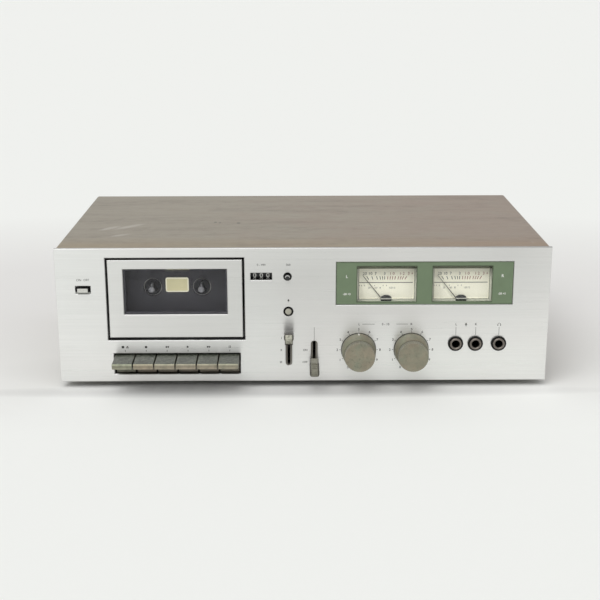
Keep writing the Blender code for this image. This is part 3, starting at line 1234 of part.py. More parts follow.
def lever_switches():
    """The two levers and the bracket that holds their pins."""
    lever("tape_lever", TAPE_LEVER_X, TAPE_SLOT_Z, TAPE_REST_ANGLE)
    lever("noise_lever", NOISE_LEVER_X, NOISE_SLOT_Z, NOISE_REST_ANGLE)
    back = LEVER_PIVOT_DEPTH + BRACKET_BACK_GAP
    reach = LEVER_HUB_WIDTH / 2 + GAP
    left = TAPE_LEVER_X - reach - BRACKET_WALL
    right = NOISE_LEVER_X + reach + BRACKET_WALL
    low = FLOOR + GAP
    high = low + BRACKET_HEIGHT
    base = block(left, right, back, back + BRACKET_WALL, low, high)
    joined = []
    for x, z in ((TAPE_LEVER_X, TAPE_SLOT_Z), (NOISE_LEVER_X, NOISE_SLOT_Z)):
        for side in (-1, 1):
            cheek = sorted((x + side * reach, x + side * (reach + BRACKET_WALL)))
            joined.append(block(*cheek, LEVER_PIVOT_DEPTH - BRACKET_CHEEK_REACH, back + SINK, low, high))
        joined.append(rod("x", (0, LEVER_PIVOT_DEPTH, z), LEVER_PIN_RADIUS, x - reach - SINK, x + reach + SINK))
    piece("lever_bracket", STEEL, base, joined)


def meters():
    """The green plate, the clear lens behind it, and two meters with their needles."""
    half = METER_PLATE_WIDTH / 2 - GAP
    outline = rectangle(METER_X - half, METER_X + half, METER_BOTTOM + GAP, METER_TOP - GAP)
    windows = [
        rectangle(x - METER_WINDOW_WIDTH / 2, x + METER_WINDOW_WIDTH / 2, METER_WINDOW_BOTTOM, METER_WINDOW_TOP)
        for x in METER_PLACES
    ]
    plate = prism(outline, "y", METER_PLATE_RECESS, FASCIA_THICK, METER_PLATE_EDGE, windows)
    piece("meter_plate", GREEN, plate)
    lens = block(LENS_LEFT, LENS_RIGHT, FRAME_FRONT, FRAME_FRONT + METER_LENS_THICK, LENS_BOTTOM, LENS_TOP)
    piece("meter_lens", CLEAR, lens)

    for side, x in zip(("left", "right"), METER_PLACES):
        half = METER_WINDOW_WIDTH / 2 + METER_BODY_WIDTH_MARGIN
        low = METER_WINDOW_BOTTOM - METER_FOOT_DROP
        high = METER_WINDOW_TOP + METER_WALL
        body = block(x - half, x + half, METER_FRONT, METER_FRONT + METER_BODY_DEPTH, low, high)
        room_half = half - METER_WALL
        room = block(
            x - room_half, x + room_half, METER_FRONT - OVERRUN, DIAL_Y, low + METER_WALL, high - METER_WALL
        )
        seat_end = DIAL_Y + NEEDLE_SEAT + GAP
        seat = rod("y", (x, 0, NEEDLE_Z), NEEDLE_SHAFT_RADIUS + GAP, DIAL_Y - OVERRUN, seat_end)
        piece(f"meter_{side}", CREAM, body, (), [room, seat])

        needle_y = (METER_FRONT + DIAL_Y) / 2
        hub_front = needle_y - NEEDLE_HUB_THICK / 2
        hub_back = needle_y + NEEDLE_HUB_THICK / 2
        profile = [
            (0, hub_front),
            (NEEDLE_HUB_RADIUS, hub_front),
            (NEEDLE_HUB_RADIUS, hub_back),
            (NEEDLE_SHAFT_RADIUS, hub_back),
            (NEEDLE_SHAFT_RADIUS, DIAL_Y + NEEDLE_SEAT),
            (0, DIAL_Y + NEEDLE_SEAT),
        ]
        blade = [
            (x - NEEDLE_WIDTH, NEEDLE_Z - NEEDLE_TAIL),
            (x + NEEDLE_WIDTH, NEEDLE_Z - NEEDLE_TAIL),
            (x + NEEDLE_WIDTH / 2, NEEDLE_Z),
            (x + NEEDLE_WIDTH / 4, NEEDLE_Z + NEEDLE_LENGTH),
            (x - NEEDLE_WIDTH / 4, NEEDLE_Z + NEEDLE_LENGTH),
            (x - NEEDLE_WIDTH / 2, NEEDLE_Z),
        ]
        pointer = prism(blade, "y", needle_y - NEEDLE_THICK / 2, needle_y + NEEDLE_THICK / 2)
        centre = (x, needle_y, NEEDLE_Z)
        base = turned(profile, "y", (x, 0, NEEDLE_Z), SMALL_STEPS)
        piece(f"needle_{side}", BLACK, base, [pointer], (), centre, (0, NEEDLE_REST_ANGLE, 0))


def level_controls():
    """Two rotary controls with their nuts, and the fluted knobs on their shafts."""
    for side, x in zip(("left", "right"), KNOB_PLACES):
        centre = (x, 0, KNOB_Z)
        bore = CONTROL_SHAFT_RADIUS + GAP
        front = FRAME_BACK + GAP
        profile = [
            (bore, -BUSH_PROUD),
            (BUSH_RADIUS, -BUSH_PROUD),
            (BUSH_RADIUS, front),
            (CONTROL_BODY_RADIUS, front),
            (CONTROL_BODY_RADIUS, front + CONTROL_BODY_LENGTH),
            (0, front + CONTROL_BODY_LENGTH),
            (0, CONTROL_SHAFT_END + GAP),
            (bore, CONTROL_SHAFT_END + GAP),
        ]
        nut = rod("y", centre, NUT_RADIUS, -GAP - NUT_THICK, -GAP, NUT_SIDES)
        hole = rod("y", centre, bore, -BUSH_PROUD - OVERRUN, CONTROL_SHAFT_END + GAP, SMALL_STEPS)
        base = turned(profile, "y", centre, SMALL_STEPS)
        piece(f"level_control_{side}", STEEL, base, [nut], [hole])

        back = -GAP
        end = back - KNOB_LENGTH
        flute_start = back - KNOB_STEP
        flute_end = end + KNOB_EDGE
        cup_floor = back - KNOB_CUP_DEPTH
        boss_back = -BUSH_PROUD - GAP
        profile = [
            (0, end),
            (KNOB_FRONT_RADIUS - KNOB_EDGE, end),
            (KNOB_FRONT_RADIUS, flute_end),
            (KNOB_FRONT_RADIUS, flute_start - KNOB_EDGE),
            (KNOB_RADIUS, flute_start),
            (KNOB_RADIUS, back),
            (0, back),
        ]
        cup = [
            (KNOB_BOSS_RADIUS, cup_floor),
            (KNOB_CUP_RADIUS, cup_floor),
            (KNOB_CUP_RADIUS, back + OVERRUN),
            (0, back + OVERRUN),
            (0, boss_back),
            (KNOB_BOSS_RADIUS, boss_back),
        ]
        flutes = (KNOB_FLUTE_DEPTH, flute_end, flute_start - KNOB_EDGE)
        knob = turned(profile, "y", centre, 2 * KNOB_FLUTES, flutes)
        shaft = rod("y", centre, CONTROL_SHAFT_RADIUS, boss_back - SINK, CONTROL_SHAFT_END)
        opened = [turned(cup, "y", centre, SMALL_STEPS)]
        piece(f"level_knob_{side}", KNOB_GREY, knob, [shaft], (), centre, opened=opened, solver="MANIFOLD")


def jacks():
    """Three jack sockets, each with a bush through the panel and a ring nut on it."""
    for name, x in zip(JACK_NAMES, JACK_PLACES):
        front = FRAME_BACK + GAP
        profile = [
            (JACK_BORE_RADIUS, -JACK_BUSH_PROUD),
            (JACK_BUSH_RADIUS, -JACK_BUSH_PROUD),
            (JACK_BUSH_RADIUS, -GAP - JACK_RING_THICK),
            (JACK_RING_RADIUS, -GAP - JACK_RING_THICK),
            (JACK_RING_RADIUS, -GAP),
            (JACK_BUSH_RADIUS, -GAP),
            (JACK_BUSH_RADIUS, front + SINK),
            (JACK_BORE_RADIUS, front + SINK),
        ]
        bush = turned(profile, "y", (x, 0, JACK_Z), SMALL_STEPS)
        half = JACK_BODY_WIDTH / 2
        body = block(x - half, x + half, front, front + JACK_BODY_LENGTH, JACK_Z - half, JACK_Z + half)
        bore_end = JACK_BORE_LENGTH - JACK_BUSH_PROUD
        bore = rod("y", (x, 0, JACK_Z), JACK_BORE_RADIUS, -JACK_BUSH_PROUD - OVERRUN, bore_end, SMALL_STEPS)
        piece(name, BLACK, body, [bush], [bore])


def rear_sockets():
    """Four line sockets on one plate, and the bush that the mains cord comes in by."""
    front = LINE_FRONT
    plate = middle_rectangle(LINE_X, LINE_Z, LINE_PLATE, LINE_PLATE, LINE_PLATE_CORNER)
    joined = [
        block(
            LINE_X - LINE_BLOCK / 2, LINE_X + LINE_BLOCK / 2, REAR_FRONT - LINE_BLOCK_DEPTH, front + SINK,
            LINE_Z - LINE_BLOCK / 2, LINE_Z + LINE_BLOCK / 2,
        )
    ]
    cut = []
    for side in (-1, 1):
        for level in (-1, 1):
            centre = (LINE_X + side * LINE_PITCH / 2, 0, LINE_Z + level * LINE_PITCH / 2)
            start = front + LINE_COLLAR_THICK
            profile = [
                (0, start - SINK),
                (LINE_COLLAR_RADIUS, start - SINK),
                (LINE_COLLAR_RADIUS, start + LINE_COLLAR_THICK),
                (LINE_BARREL_RADIUS, start + LINE_COLLAR_THICK),
                (LINE_BARREL_RADIUS, REAR_REACH),
                (0, REAR_REACH),
            ]
            joined.append(turned(profile, "y", centre, HIDDEN_STEPS))
            cut.append(rod("y", centre, LINE_BORE_RADIUS, start, REAR_REACH + OVERRUN))
    base = prism(plate, "y", front, front + LINE_COLLAR_THICK)
    piece("line_sockets", BLACK, base, joined, cut, (LINE_X, front, LINE_Z))

    wall = BUSHING_BORE_RADIUS
    profile = [
        (wall, REAR_FRONT - BUSHING_TAIL),
        (BUSHING_RADIUS, REAR_FRONT - BUSHING_TAIL),
        (BUSHING_RADIUS, front),
        (BUSHING_FLANGE_RADIUS, front),
        (BUSHING_FLANGE_RADIUS, front + BUSHING_FLANGE_THICK),
        (BUSHING_RADIUS, front + BUSHING_FLANGE_THICK),
        (BUSHING_NOSE_RADIUS, front + BUSHING_FLANGE_THICK + BUSHING_NOSE),
        (wall, front + BUSHING_FLANGE_THICK + BUSHING_NOSE),
    ]
    piece("cord_bushing", BLACK, turned(profile, "y", (BUSHING_X, 0, BUSHING_Z), SMALL_STEPS))


def inside():
    """The mains transformer and the main circuit board, on the tray."""
    low = FLOOR + GAP
    x = LEFT + TRANSFORMER_INSET
    y = REAR_FRONT - TRANSFORMER_REAR_ROOM
    middle = low + TRANSFORMER_FOOT_THICK + TRANSFORMER_HEIGHT / 2
    core = block(
        x - TRANSFORMER_WIDTH / 2, x + TRANSFORMER_WIDTH / 2,
        y - TRANSFORMER_DEPTH / 2, y + TRANSFORMER_DEPTH / 2,
        low + TRANSFORMER_FOOT_THICK - SINK, low + TRANSFORMER_FOOT_THICK + TRANSFORMER_HEIGHT,
    )
    coil = block(
        x - COIL_WIDTH / 2, x + COIL_WIDTH / 2, y - COIL_DEPTH / 2, y + COIL_DEPTH / 2,
        middle - COIL_HEIGHT / 2, middle + COIL_HEIGHT / 2, COIL_EDGE,
    )
    foot = block(
        x - TRANSFORMER_FOOT_WIDTH / 2, x + TRANSFORMER_FOOT_WIDTH / 2,
        y - TRANSFORMER_FOOT_DEPTH / 2, y + TRANSFORMER_FOOT_DEPTH / 2, low, low + TRANSFORMER_FOOT_THICK,
    )
    piece("mains_transformer", IRON, core, [coil, foot])

    left = LEFT + BOARD_INSET
    right = INSIDE_HALF - BOARD_RIGHT_MARGIN
    front = BOARD_FRONT
    back = REAR_FRONT - BOARD_BACK_MARGIN
    board_bottom = FLOOR + BOARD_RISE
    board_top = board_bottom + BOARD_THICK

    def place(shares):
        return left + (right - left) * shares[0], front + (back - front) * shares[1]

    joined = []
    for corner_x in (left + BOARD_POST_INSET, right - BOARD_POST_INSET):
        for corner_y in (front + BOARD_POST_INSET, back - BOARD_POST_INSET):
            joined.append(rod("z", (corner_x, corner_y, 0), BOARD_POST_RADIUS, low, board_bottom + SINK))
    for shares in CAPACITOR_SHARES:
        across, along = place(shares)
        can_top = board_top + CAPACITOR_HEIGHT
        joined.append(rod("z", (across, along, 0), CAPACITOR_RADIUS, board_top - SINK, can_top))
    for shares in CAN_SHARES:
        across, along = place(shares)
        can = CAN_WIDTH / 2
        can_top = board_top + CAN_HEIGHT
        joined.append(block(across - can, across + can, along - can, along + can, board_top - SINK, can_top))
    across, along = place(SLIDE_SWITCH_SHARE)
    joined.append(
        block(
            across - SLIDE_SWITCH_LENGTH / 2, across + SLIDE_SWITCH_LENGTH / 2,
            along - SLIDE_SWITCH_WIDTH / 2, along + SLIDE_SWITCH_WIDTH / 2,
            board_top - SINK, board_top + SLIDE_SWITCH_HEIGHT,
        )
    )
    piece("main_board", BOARD_BROWN, block(left, right, front, back, board_bottom, board_top), joined)


front_panel()
front_frame()
case()
cassette_door()
cassette_well()
transport()
reels()
drive()
head_bridge()
keys()
power()
counter()
push_button("reset_button", BLACK, RESET_X, COUNTER_Z, RESET_RADIUS, RESET_PROUD)
push_button("microphone_button", LIGHT_GREY, MICROPHONE_X, MICROPHONE_Z, MICROPHONE_RADIUS, MICROPHONE_PROUD)
lever_switches()
meters()
level_controls()
jacks()
rear_sockets()
inside()
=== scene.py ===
"""The looks of a front-loading stereo cassette deck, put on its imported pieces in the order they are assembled."""
import math

import bmesh
import bpy
from mathutils import Matrix, Vector


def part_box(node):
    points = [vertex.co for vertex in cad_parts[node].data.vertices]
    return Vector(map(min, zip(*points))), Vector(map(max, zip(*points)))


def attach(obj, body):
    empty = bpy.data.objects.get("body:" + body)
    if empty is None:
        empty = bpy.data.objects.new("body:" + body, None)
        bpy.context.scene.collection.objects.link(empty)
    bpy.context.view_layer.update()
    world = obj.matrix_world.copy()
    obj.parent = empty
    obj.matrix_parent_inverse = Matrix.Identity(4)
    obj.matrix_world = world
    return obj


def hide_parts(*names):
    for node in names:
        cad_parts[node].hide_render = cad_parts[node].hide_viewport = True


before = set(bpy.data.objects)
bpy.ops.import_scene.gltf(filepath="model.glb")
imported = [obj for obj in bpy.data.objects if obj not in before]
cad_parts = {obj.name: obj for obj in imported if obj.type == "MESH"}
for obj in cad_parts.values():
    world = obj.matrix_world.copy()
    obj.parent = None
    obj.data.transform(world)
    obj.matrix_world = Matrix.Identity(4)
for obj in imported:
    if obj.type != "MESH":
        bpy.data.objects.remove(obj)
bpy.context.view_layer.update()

# Studio: a wide pale table, one broad lamp high on the left and even light all round.
# The table's colour carries painted shadow beside and behind the deck, and a darker painted contact shadow just in
# front of the panel; in front of that and far away it is pale, and the wall behind it is as pale as the table.
TABLE_HALF = 14.0
TABLE_PALE = (0.86, 0.87, 0.85)
TABLE_PAINTED_SHADOWS = (
    ((-0.05, 0.20, 0.0), (1.10, 0.42, 1.0), 1.5, (0.750, 0.742, 0.730)),
    ((-0.01, -0.06, 0.0), (0.27, 0.068, 1.0), 1.6, (0.70, 0.70, 0.69)),
    ((-0.02, -0.119, 0.0), (0.30, 0.017, 1.0), 1.5, (0.58, 0.58, 0.57)),
)
WALL_PALE = (0.87, 0.87, 0.865)
ROOM_WHITE = (1, 1, 0.99)
ROOM_LIGHT = 0.60
LAMP_STRENGTH = 1.55
LAMP_ANGLE = 50
LAMP_FROM = (-0.32, -0.62, 1.05)


def feed(source, socket):
    """Sets a shader input to a number or a colour, or links it to an output."""
    source = getattr(source, "socket", source)
    if isinstance(source, bpy.types.NodeSocket):
        socket.id_data.links.new(source, socket)
    elif socket.type == "RGBA" and len(source) == 3:
        socket.default_value = (*source, 1)
    else:
        socket.default_value = source


def add_node(tree, kind, inputs=(), **settings):
    """A shader node with its settings and what its inputs are fed with."""
    node = tree.nodes.new(f"ShaderNode{kind}")
    for title, value in settings.items():
        setattr(node, title, value)
    for title, source in dict(inputs).items():
        feed(source, node.inputs[title])
    return node


class Field:
    """A value or a colour that changes over a surface. Sums with it make maths nodes."""

    def __init__(self, socket):
        self.socket = socket
        self.tree = socket.id_data

    def maths(self, operation, first, second):
        return Field(add_node(self.tree, "Math", {0: first, 1: second}, operation=operation).outputs[0])

    def __add__(self, other):
        return self.maths("ADD", self, other)

    def __sub__(self, other):
        return self.maths("SUBTRACT", self, other)

    def __rsub__(self, other):
        return self.maths("SUBTRACT", other, self)

    def __mul__(self, other):
        return self.maths("MULTIPLY", self, other)

    def __lt__(self, other):
        return self.maths("LESS_THAN", self, other)

    def __gt__(self, other):
        return self.maths("GREATER_THAN", self, other)

    def __or__(self, other):
        """The higher of two values."""
        return self.maths("MAXIMUM", self, other)

    def __abs__(self):
        return self.maths("ABSOLUTE", self, 0.0)

    def held(self):
        """The same value, kept from 0 to 1."""
        self.socket.node.use_clamp = True
        return self

    def between(self, start, end):
        """How far the value has gone from the start, 0, to the end, 1."""
        way = {"Value": self, "From Min": start, "From Max": end}
        return Field(add_node(self.tree, "MapRange", way).outputs[0])

    def ramp(self, stops):
        """A colour for each value, from (position, colour) stops."""
        node = add_node(self.tree, "ValToRGB", {0: self})
        elements = node.color_ramp.elements
        while len(elements) < len(stops):
            elements.new(0.5)
        for element, (position, colour) in zip(elements, stops):
            element.position = position
            element.color = (*colour, 1)
        return Field(node.outputs[0])

    def tint(self, share, colour):
        """This colour multiplied by another where the share says so."""
        return mix(share, self, mix(1.0, self, colour, "MULTIPLY"))


def mix(share, first, second, blend="MIX"):
    """Two colours mixed by a share. Each of the three may be a field."""
    tree = next(side.tree for side in (share, first, second) if isinstance(side, Field))
    node = add_node(tree, "Mix", {}, data_type="RGBA", blend_type=blend)
    for place, side in ((0, share), (6, first), (7, second)):
        feed(side, node.inputs[place])
    return Field(node.outputs[2])


def start_finish(name, colour, roughness, metallic=0.0, specular=0.5):
    """A material whose shader holds the values that are the same all over the surface."""
    finish = bpy.data.materials.new(name)
    finish.use_nodes = True
    inputs = finish.node_tree.nodes["Principled BSDF"].inputs
    feed(colour, inputs["Base Color"])
    feed(roughness, inputs["Roughness"])
    feed(metallic, inputs["Metallic"])
    feed(specular, inputs["Specular IOR Level"])
    return finish


def paint(finish, source, title="Base Color"):
    """Feeds an input of a material's shader, its colour unless another is named."""
    feed(source, finish.node_tree.nodes["Principled BSDF"].inputs[title])


def spot_mask(tree, centre, half, turn=0.0):
    """1 in the middle of a soft oval spot fixed to the piece, 0 outside it."""
    oval = {
        "Vector": add_node(tree, "TexCoord").outputs["Object"],
        "Location": centre,
        "Rotation": (0, 0, math.radians(turn)),
        "Scale": half,
    }
    within = add_node(tree, "Mapping", oval, vector_type="TEXTURE")
    far = add_node(tree, "VectorMath", {0: within.outputs[0]}, operation="LENGTH")
    return (1.0 - Field(far.outputs["Value"])).held()


table_paper = start_finish("table paper", TABLE_PALE, 0.9, specular=0.1)
# Painted shadow: soft darker spots in the table's colour round the deck and along its front.
tone = TABLE_PALE
for centre, half, strength, colour in TABLE_PAINTED_SHADOWS:
    tone = mix((spot_mask(table_paper.node_tree, centre, half) * strength).held(), tone, colour)
paint(table_paper, tone)

table_mesh = bpy.data.meshes.new("table")
corners = [(TABLE_HALF * x, TABLE_HALF * y, 0) for x, y in ((-1, -1), (1, -1), (1, 1), (-1, 1))]
table_mesh.from_pydata(corners, [], [(0, 1, 2, 3)])
table = bpy.data.objects.new("table", table_mesh)
table_mesh.materials.append(table_paper)
bpy.context.scene.collection.objects.link(table)
bpy.context.scene.view_settings.view_transform = "Standard"

room = bpy.data.worlds.new("room")
room.use_nodes = True
bpy.context.scene.world = room
tree = room.node_tree
wall = tree.nodes["Background"]
feed(WALL_PALE, wall.inputs["Color"])
light = add_node(tree, "Background", {"Color": ROOM_WHITE, "Strength": ROOM_LIGHT})
ray = add_node(tree, "LightPath").outputs
seen = Field(ray["Is Camera Ray"]) | ray["Is Glossy Ray"] | ray["Is Transmission Ray"]
choose = add_node(tree, "MixShader", {0: seen, 1: light.outputs[0], 2: wall.outputs[0]})
feed(choose.outputs[0], tree.nodes["World Output"].inputs["Surface"])

lamp_data = bpy.data.lights.new("lamp", "SUN")
lamp_data.energy = LAMP_STRENGTH
lamp_data.angle = math.radians(LAMP_ANGLE)
lamp = bpy.data.objects.new("lamp", lamp_data)
lamp.rotation_euler = Vector(LAMP_FROM).to_track_quat("Z", "Y").to_euler()
bpy.context.scene.collection.objects.link(lamp)

# Camera: it stands a metre in front of the panel, a little to the left of its middle,
# and looks down at it from the height from which the photograph was taken.
CAMERA_ACROSS = -0.00921
CAMERA_BEFORE_PANEL = 0.95299
CAMERA_OVER_PANEL_FOOT = 0.35044
CAMERA_YAW = 0.00675
CAMERA_PITCH = 0.28327
CAMERA_ROLL = -0.002
CAMERA_LENS = 69.98
PANEL_LOW, PANEL_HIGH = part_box("front_panel")
PANEL_FRONT = PANEL_LOW.y
PANEL_FOOT = PANEL_LOW.z

camera_data = bpy.data.cameras.new("camera")
camera_data.lens = CAMERA_LENS
camera_data.sensor_width = 36
camera = bpy.data.objects.new("camera", camera_data)
sideways = math.sin(CAMERA_YAW)
straight = math.cos(CAMERA_YAW)
forward = Vector((sideways * math.cos(CAMERA_PITCH), straight * math.cos(CAMERA_PITCH), -math.sin(CAMERA_PITCH)))
level_right = Vector((straight, -sideways, 0))
right = math.cos(CAMERA_ROLL) * level_right + math.sin(CAMERA_ROLL) * level_right.cross(forward)
turn = Matrix((right, right.cross(forward), -forward)).transposed().to_4x4()
stand = Vector((CAMERA_ACROSS, PANEL_FRONT - CAMERA_BEFORE_PANEL, PANEL_FOOT + CAMERA_OVER_PANEL_FOOT))
camera.matrix_world = Matrix.Translation(stand) @ turn
bpy.context.scene.collection.objects.link(camera)
bpy.context.scene.camera = camera

# Chassis: a tray, a transport plate, a lever bracket and a keys' shaft of zinc-plated steel, screwed together.
# The plating is grey with a faint flow of colour, fine scratches and brighter worn edges.
STEEL_COLOUR = (0.56, 0.55, 0.51)
STEEL_EDGE = (0.72, 0.71, 0.68)
WEAR_WIDTH = 0.0004


def start_group(name, **inputs):
    """A shader node group with its inputs, and the fields that they give inside it."""
    group = bpy.data.node_groups.new(name, "ShaderNodeTree")
    for title, value in {"Colour": (1, 1, 1), "Roughness": 0.5, **inputs}.items():
        coloured = isinstance(value, tuple)
        kind = "NodeSocketColor" if coloured else "NodeSocketFloat"
        socket = group.interface.new_socket(title, in_out="INPUT", socket_type=kind)
        socket.default_value = (*value, 1) if coloured else value
    given = group.nodes.new("NodeGroupInput").outputs
    return group, {socket.name: Field(socket) for socket in given if socket.name}


def end_group(group, colour, roughness, height):
    """Gives a group its outputs: a colour, a roughness and a height."""
    made = {"Colour": colour, "Roughness": roughness, "Height": height}
    for title in made:
        kind = "NodeSocketColor" if title == "Colour" else "NodeSocketFloat"
        group.interface.new_socket(title, in_out="OUTPUT", socket_type=kind)
    node = group.nodes.new("NodeGroupOutput")
    for title, source in made.items():
        feed(source, node.inputs[title])


def noise(tree, size, detail=4.0, stretch=(1, 1, 1), rough=0.6, shift=0.0):
    """Noise fixed to the piece: size is in spots per metre."""
    place = add_node(tree, "TexCoord").outputs["Object"]
    stretched = add_node(tree, "Mapping", {"Vector": place, "Scale": stretch, "Location": (shift, shift, shift)})
    spots = {"Vector": stretched.outputs[0], "Scale": size, "Detail": detail, "Roughness": rough}
    return Field(add_node(tree, "TexNoise", spots).outputs["Fac"])


def shaded(colour, tone):
    """A colour made lighter or darker by a tone round 1."""
    grey = add_node(tone.tree, "CombineColor", {0: tone, 1: tone, 2: tone})
    return mix(1.0, colour, grey.outputs[0], "MULTIPLY")


def add_relief(finish, height, strength, depth):
    """Adds a relief to a material, over what it has already."""
    tree = finish.node_tree
    normal = tree.nodes["Principled BSDF"].inputs["Normal"]
    relief = add_node(tree, "Bump", {"Strength": strength, "Distance": depth, "Height": height})
    if normal.is_linked:
        feed(normal.links[0].from_socket, relief.inputs["Normal"])
    feed(relief.outputs[0], normal)


def add_effect(finish, group, values, strength=0.0, depth=0.0):
    """Puts a group into a material with its own values, after the effects that are there already."""
    tree = finish.node_tree
    shader = tree.nodes["Principled BSDF"]
    node = add_node(tree, "Group", {}, node_tree=group)
    for title, value in values.items():
        feed(value, node.inputs[title])
    for title, target in (("Colour", "Base Color"), ("Roughness", "Roughness")):
        socket = shader.inputs[target]
        feed(socket.links[0].from_socket if socket.is_linked else socket.default_value, node.inputs[title])
        feed(node.outputs[title], socket)
    if strength:
        add_relief(finish, node.outputs["Height"], strength, depth)


# Grain: the fine even relief of a moulded or rolled surface, with soft smudges of tone and gloss
grain, given = start_group("grain", Grain=2200.0, Cloud=45.0, Tone=0.10, Smudge=0.10)
fine = noise(grain, given["Grain"], 3.0)
cloud = noise(grain, given["Cloud"], 6.0, shift=3.1) - 0.5
tone = (cloud * 1.4 + (fine - 0.5) * 0.9) * given["Tone"] + 1.0
gloss = cloud * 2.0 * given["Smudge"]
end_group(grain, shaded(given["Colour"], tone), (given["Roughness"] + gloss).held(), fine)

# Edge wear: paint or skin rubbed through on the outer edges, more in some places than in others
edge_wear, given = start_group("edge wear", Worn=(0.7, 0.7, 0.7), Polish=0.35, Amount=0.6)
rounded = add_node(edge_wear, "Bevel", {"Radius": WEAR_WIDTH}, samples=4)
facing = add_node(edge_wear, "NewGeometry")
both = {0: rounded.outputs[0], 1: facing.outputs["Normal"]}
alike = Field(add_node(edge_wear, "VectorMath", both, operation="DOT_PRODUCT").outputs["Value"])
edge = ((1.0 - alike) * 9.0).held()
patches = ((noise(edge_wear, 160.0, 6.0) - 0.34) * 4.0).held()
mask = (edge * patches * given["Amount"]).held()
roughness = given["Roughness"] * (1.0 - mask) + given["Polish"] * mask
end_group(edge_wear, mix(mask, given["Colour"], given["Worn"]), roughness, mask)


def add_grain(finish, fine, cloud, tone, smudge, strength, depth=0.00005):
    """Grain in a material: spots per metre of its fine and broad parts, their shares, and its relief."""
    add_effect(finish, grain, {"Grain": fine, "Cloud": cloud, "Tone": tone, "Smudge": smudge}, strength, depth)


def add_wear(finish, worn, polish, amount):
    """Worn edges in a material: their colour, their roughness and how much of them is worn."""
    add_effect(finish, edge_wear, {"Worn": worn, "Polish": polish, "Amount": amount})


def make_finish(name, colour, roughness, grained, worn=None, **body):
    """A material of one colour with its grain and, where it has them, worn edges."""
    finish = start_finish(name, colour, roughness, **body)
    add_grain(finish, *grained)
    if worn:
        add_wear(finish, *worn)
    return finish


def dress(finish, *nodes):
    """Gives carried-over nodes their finish."""
    for name in nodes:
        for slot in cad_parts[name].material_slots:
            slot.material = finish


plated_steel = make_finish(
    "zinc plated steel", STEEL_COLOUR, 0.40, (900, 30, 0.35, 0.25, 0.15), (STEEL_EDGE, 0.3, 0.7), metallic=1.0
)
dress(plated_steel, "chassis_tray", "transport_plate", "lever_bracket", "key_shaft", "head_bridge")

# Tape drive: motor, pulley and flywheel behind the transport plate, and the two heads on their bridge.
# Turned steel and brass carry fine rings round the axis; the mains transformer's stack is lacquered iron.
TURNED_COLOUR = (0.70, 0.70, 0.68)
TURNED_EDGE = (0.85, 0.85, 0.84)
IRON_COLOUR = (0.22, 0.21, 0.20)

turned_metal = make_finish(
    "turned metal", TURNED_COLOUR, 0.24, (3000, 120, 0.16, 0.16, 0.12, 0.00003), (TURNED_EDGE, 0.2, 0.5),
    metallic=1.0,
)
dress(turned_metal, "capstan_flywheel", "motor_pulley", "drive_motor", "record_play_head", "erase_head")
lacquered_iron = make_finish("lacquered iron", IRON_COLOUR, 0.55, (700, 80, 0.4, 0.2, 0.4, 0.0001), metallic=0.6)
dress(lacquered_iron, "mains_transformer")

# Rubber: the flat belt, the pinch roller on its pin, and four feet screwed under the tray.
# It is black, matt and slightly dusty, with a bloom of grey.
RUBBER_COLOUR = (0.028, 0.028, 0.028)

black_rubber = make_finish(
    "black rubber", RUBBER_COLOUR, 0.82, (1600, 200, 0.5, 0.15, 0.35, 0.0001), specular=0.3
)
dress(black_rubber, "drive_belt", "pinch_roller")
dress(black_rubber, "foot_front_left", "foot_front_right", "foot_rear_left", "foot_rear_right")

# Circuit board: brown bonded paper with lacquer on it and its components on top.
# It lies flat on pillars of the tray, in the right half of the deck.
BOARD_COLOUR = (0.25, 0.16, 0.08)

board_brown = make_finish("board brown", BOARD_COLOUR, 0.5, (500, 60, 0.3, 0.2, 0.2, 0.0001))
dress(board_brown, "main_board")

# Cover: a folded steel sheet with printed wood-grain vinyl on it, screwed to the tray at both sides.
# The vinyl is grey-brown, its grain runs across the deck and down its sides, and it is embossed with
# short pores and scuffed where things stood on it.
VINYL_LIGHT = (0.277, 0.248, 0.197)
VINYL_MIDDLE = (0.250, 0.221, 0.175)
VINYL_DARK = (0.198, 0.172, 0.134)
VINYL_PORE = (0.120, 0.105, 0.082)
VINYL_SCUFF = (0.46, 0.43, 0.39)
VINYL_GREEN = (0.915, 0.910, 0.890)
VINYL_PINK = (0.865, 0.755, 0.735)
VINYL_FRONT = (1.02, 0.93, 0.79)
VINYL_FIGURE = ((0.40, VINYL_DARK), (0.475, VINYL_MIDDLE), (0.54, VINYL_LIGHT), (0.63, VINYL_MIDDLE))
COVER_TOP = 0.1237
SCRAPES = (
    (-0.1570, -0.0220, 0.0210, 0.0050, 45),
    (-0.1610, -0.0570, 0.0130, 0.0042, 33),
    (-0.1740, -0.0285, 0.0150, 0.0048, 50),
)
PITS = (
    (-0.0800, -0.0053, 0.0016, 0.0036, 0),
    (-0.0758, -0.0067, 0.0014, 0.0026, 0),
    (-0.0586, -0.0086, 0.0021, 0.0042, 0),
)


def split(tree, vector):
    """The x, y and z of a vector, as fields."""
    return [Field(part) for part in add_node(tree, "SeparateXYZ", {0: vector}).outputs]


def piece_places(tree):
    """The x, y and z of a point on the piece."""
    return split(tree, add_node(tree, "TexCoord").outputs["Object"])


def on_cover(tree, mark):
    """The mask of a spot on the cover's top, from its middle, its half sizes and its turn."""
    x, y, half_length, half_width, turn = mark
    return spot_mask(tree, (x, y, COVER_TOP), (half_length, half_width, 0.01), turn)


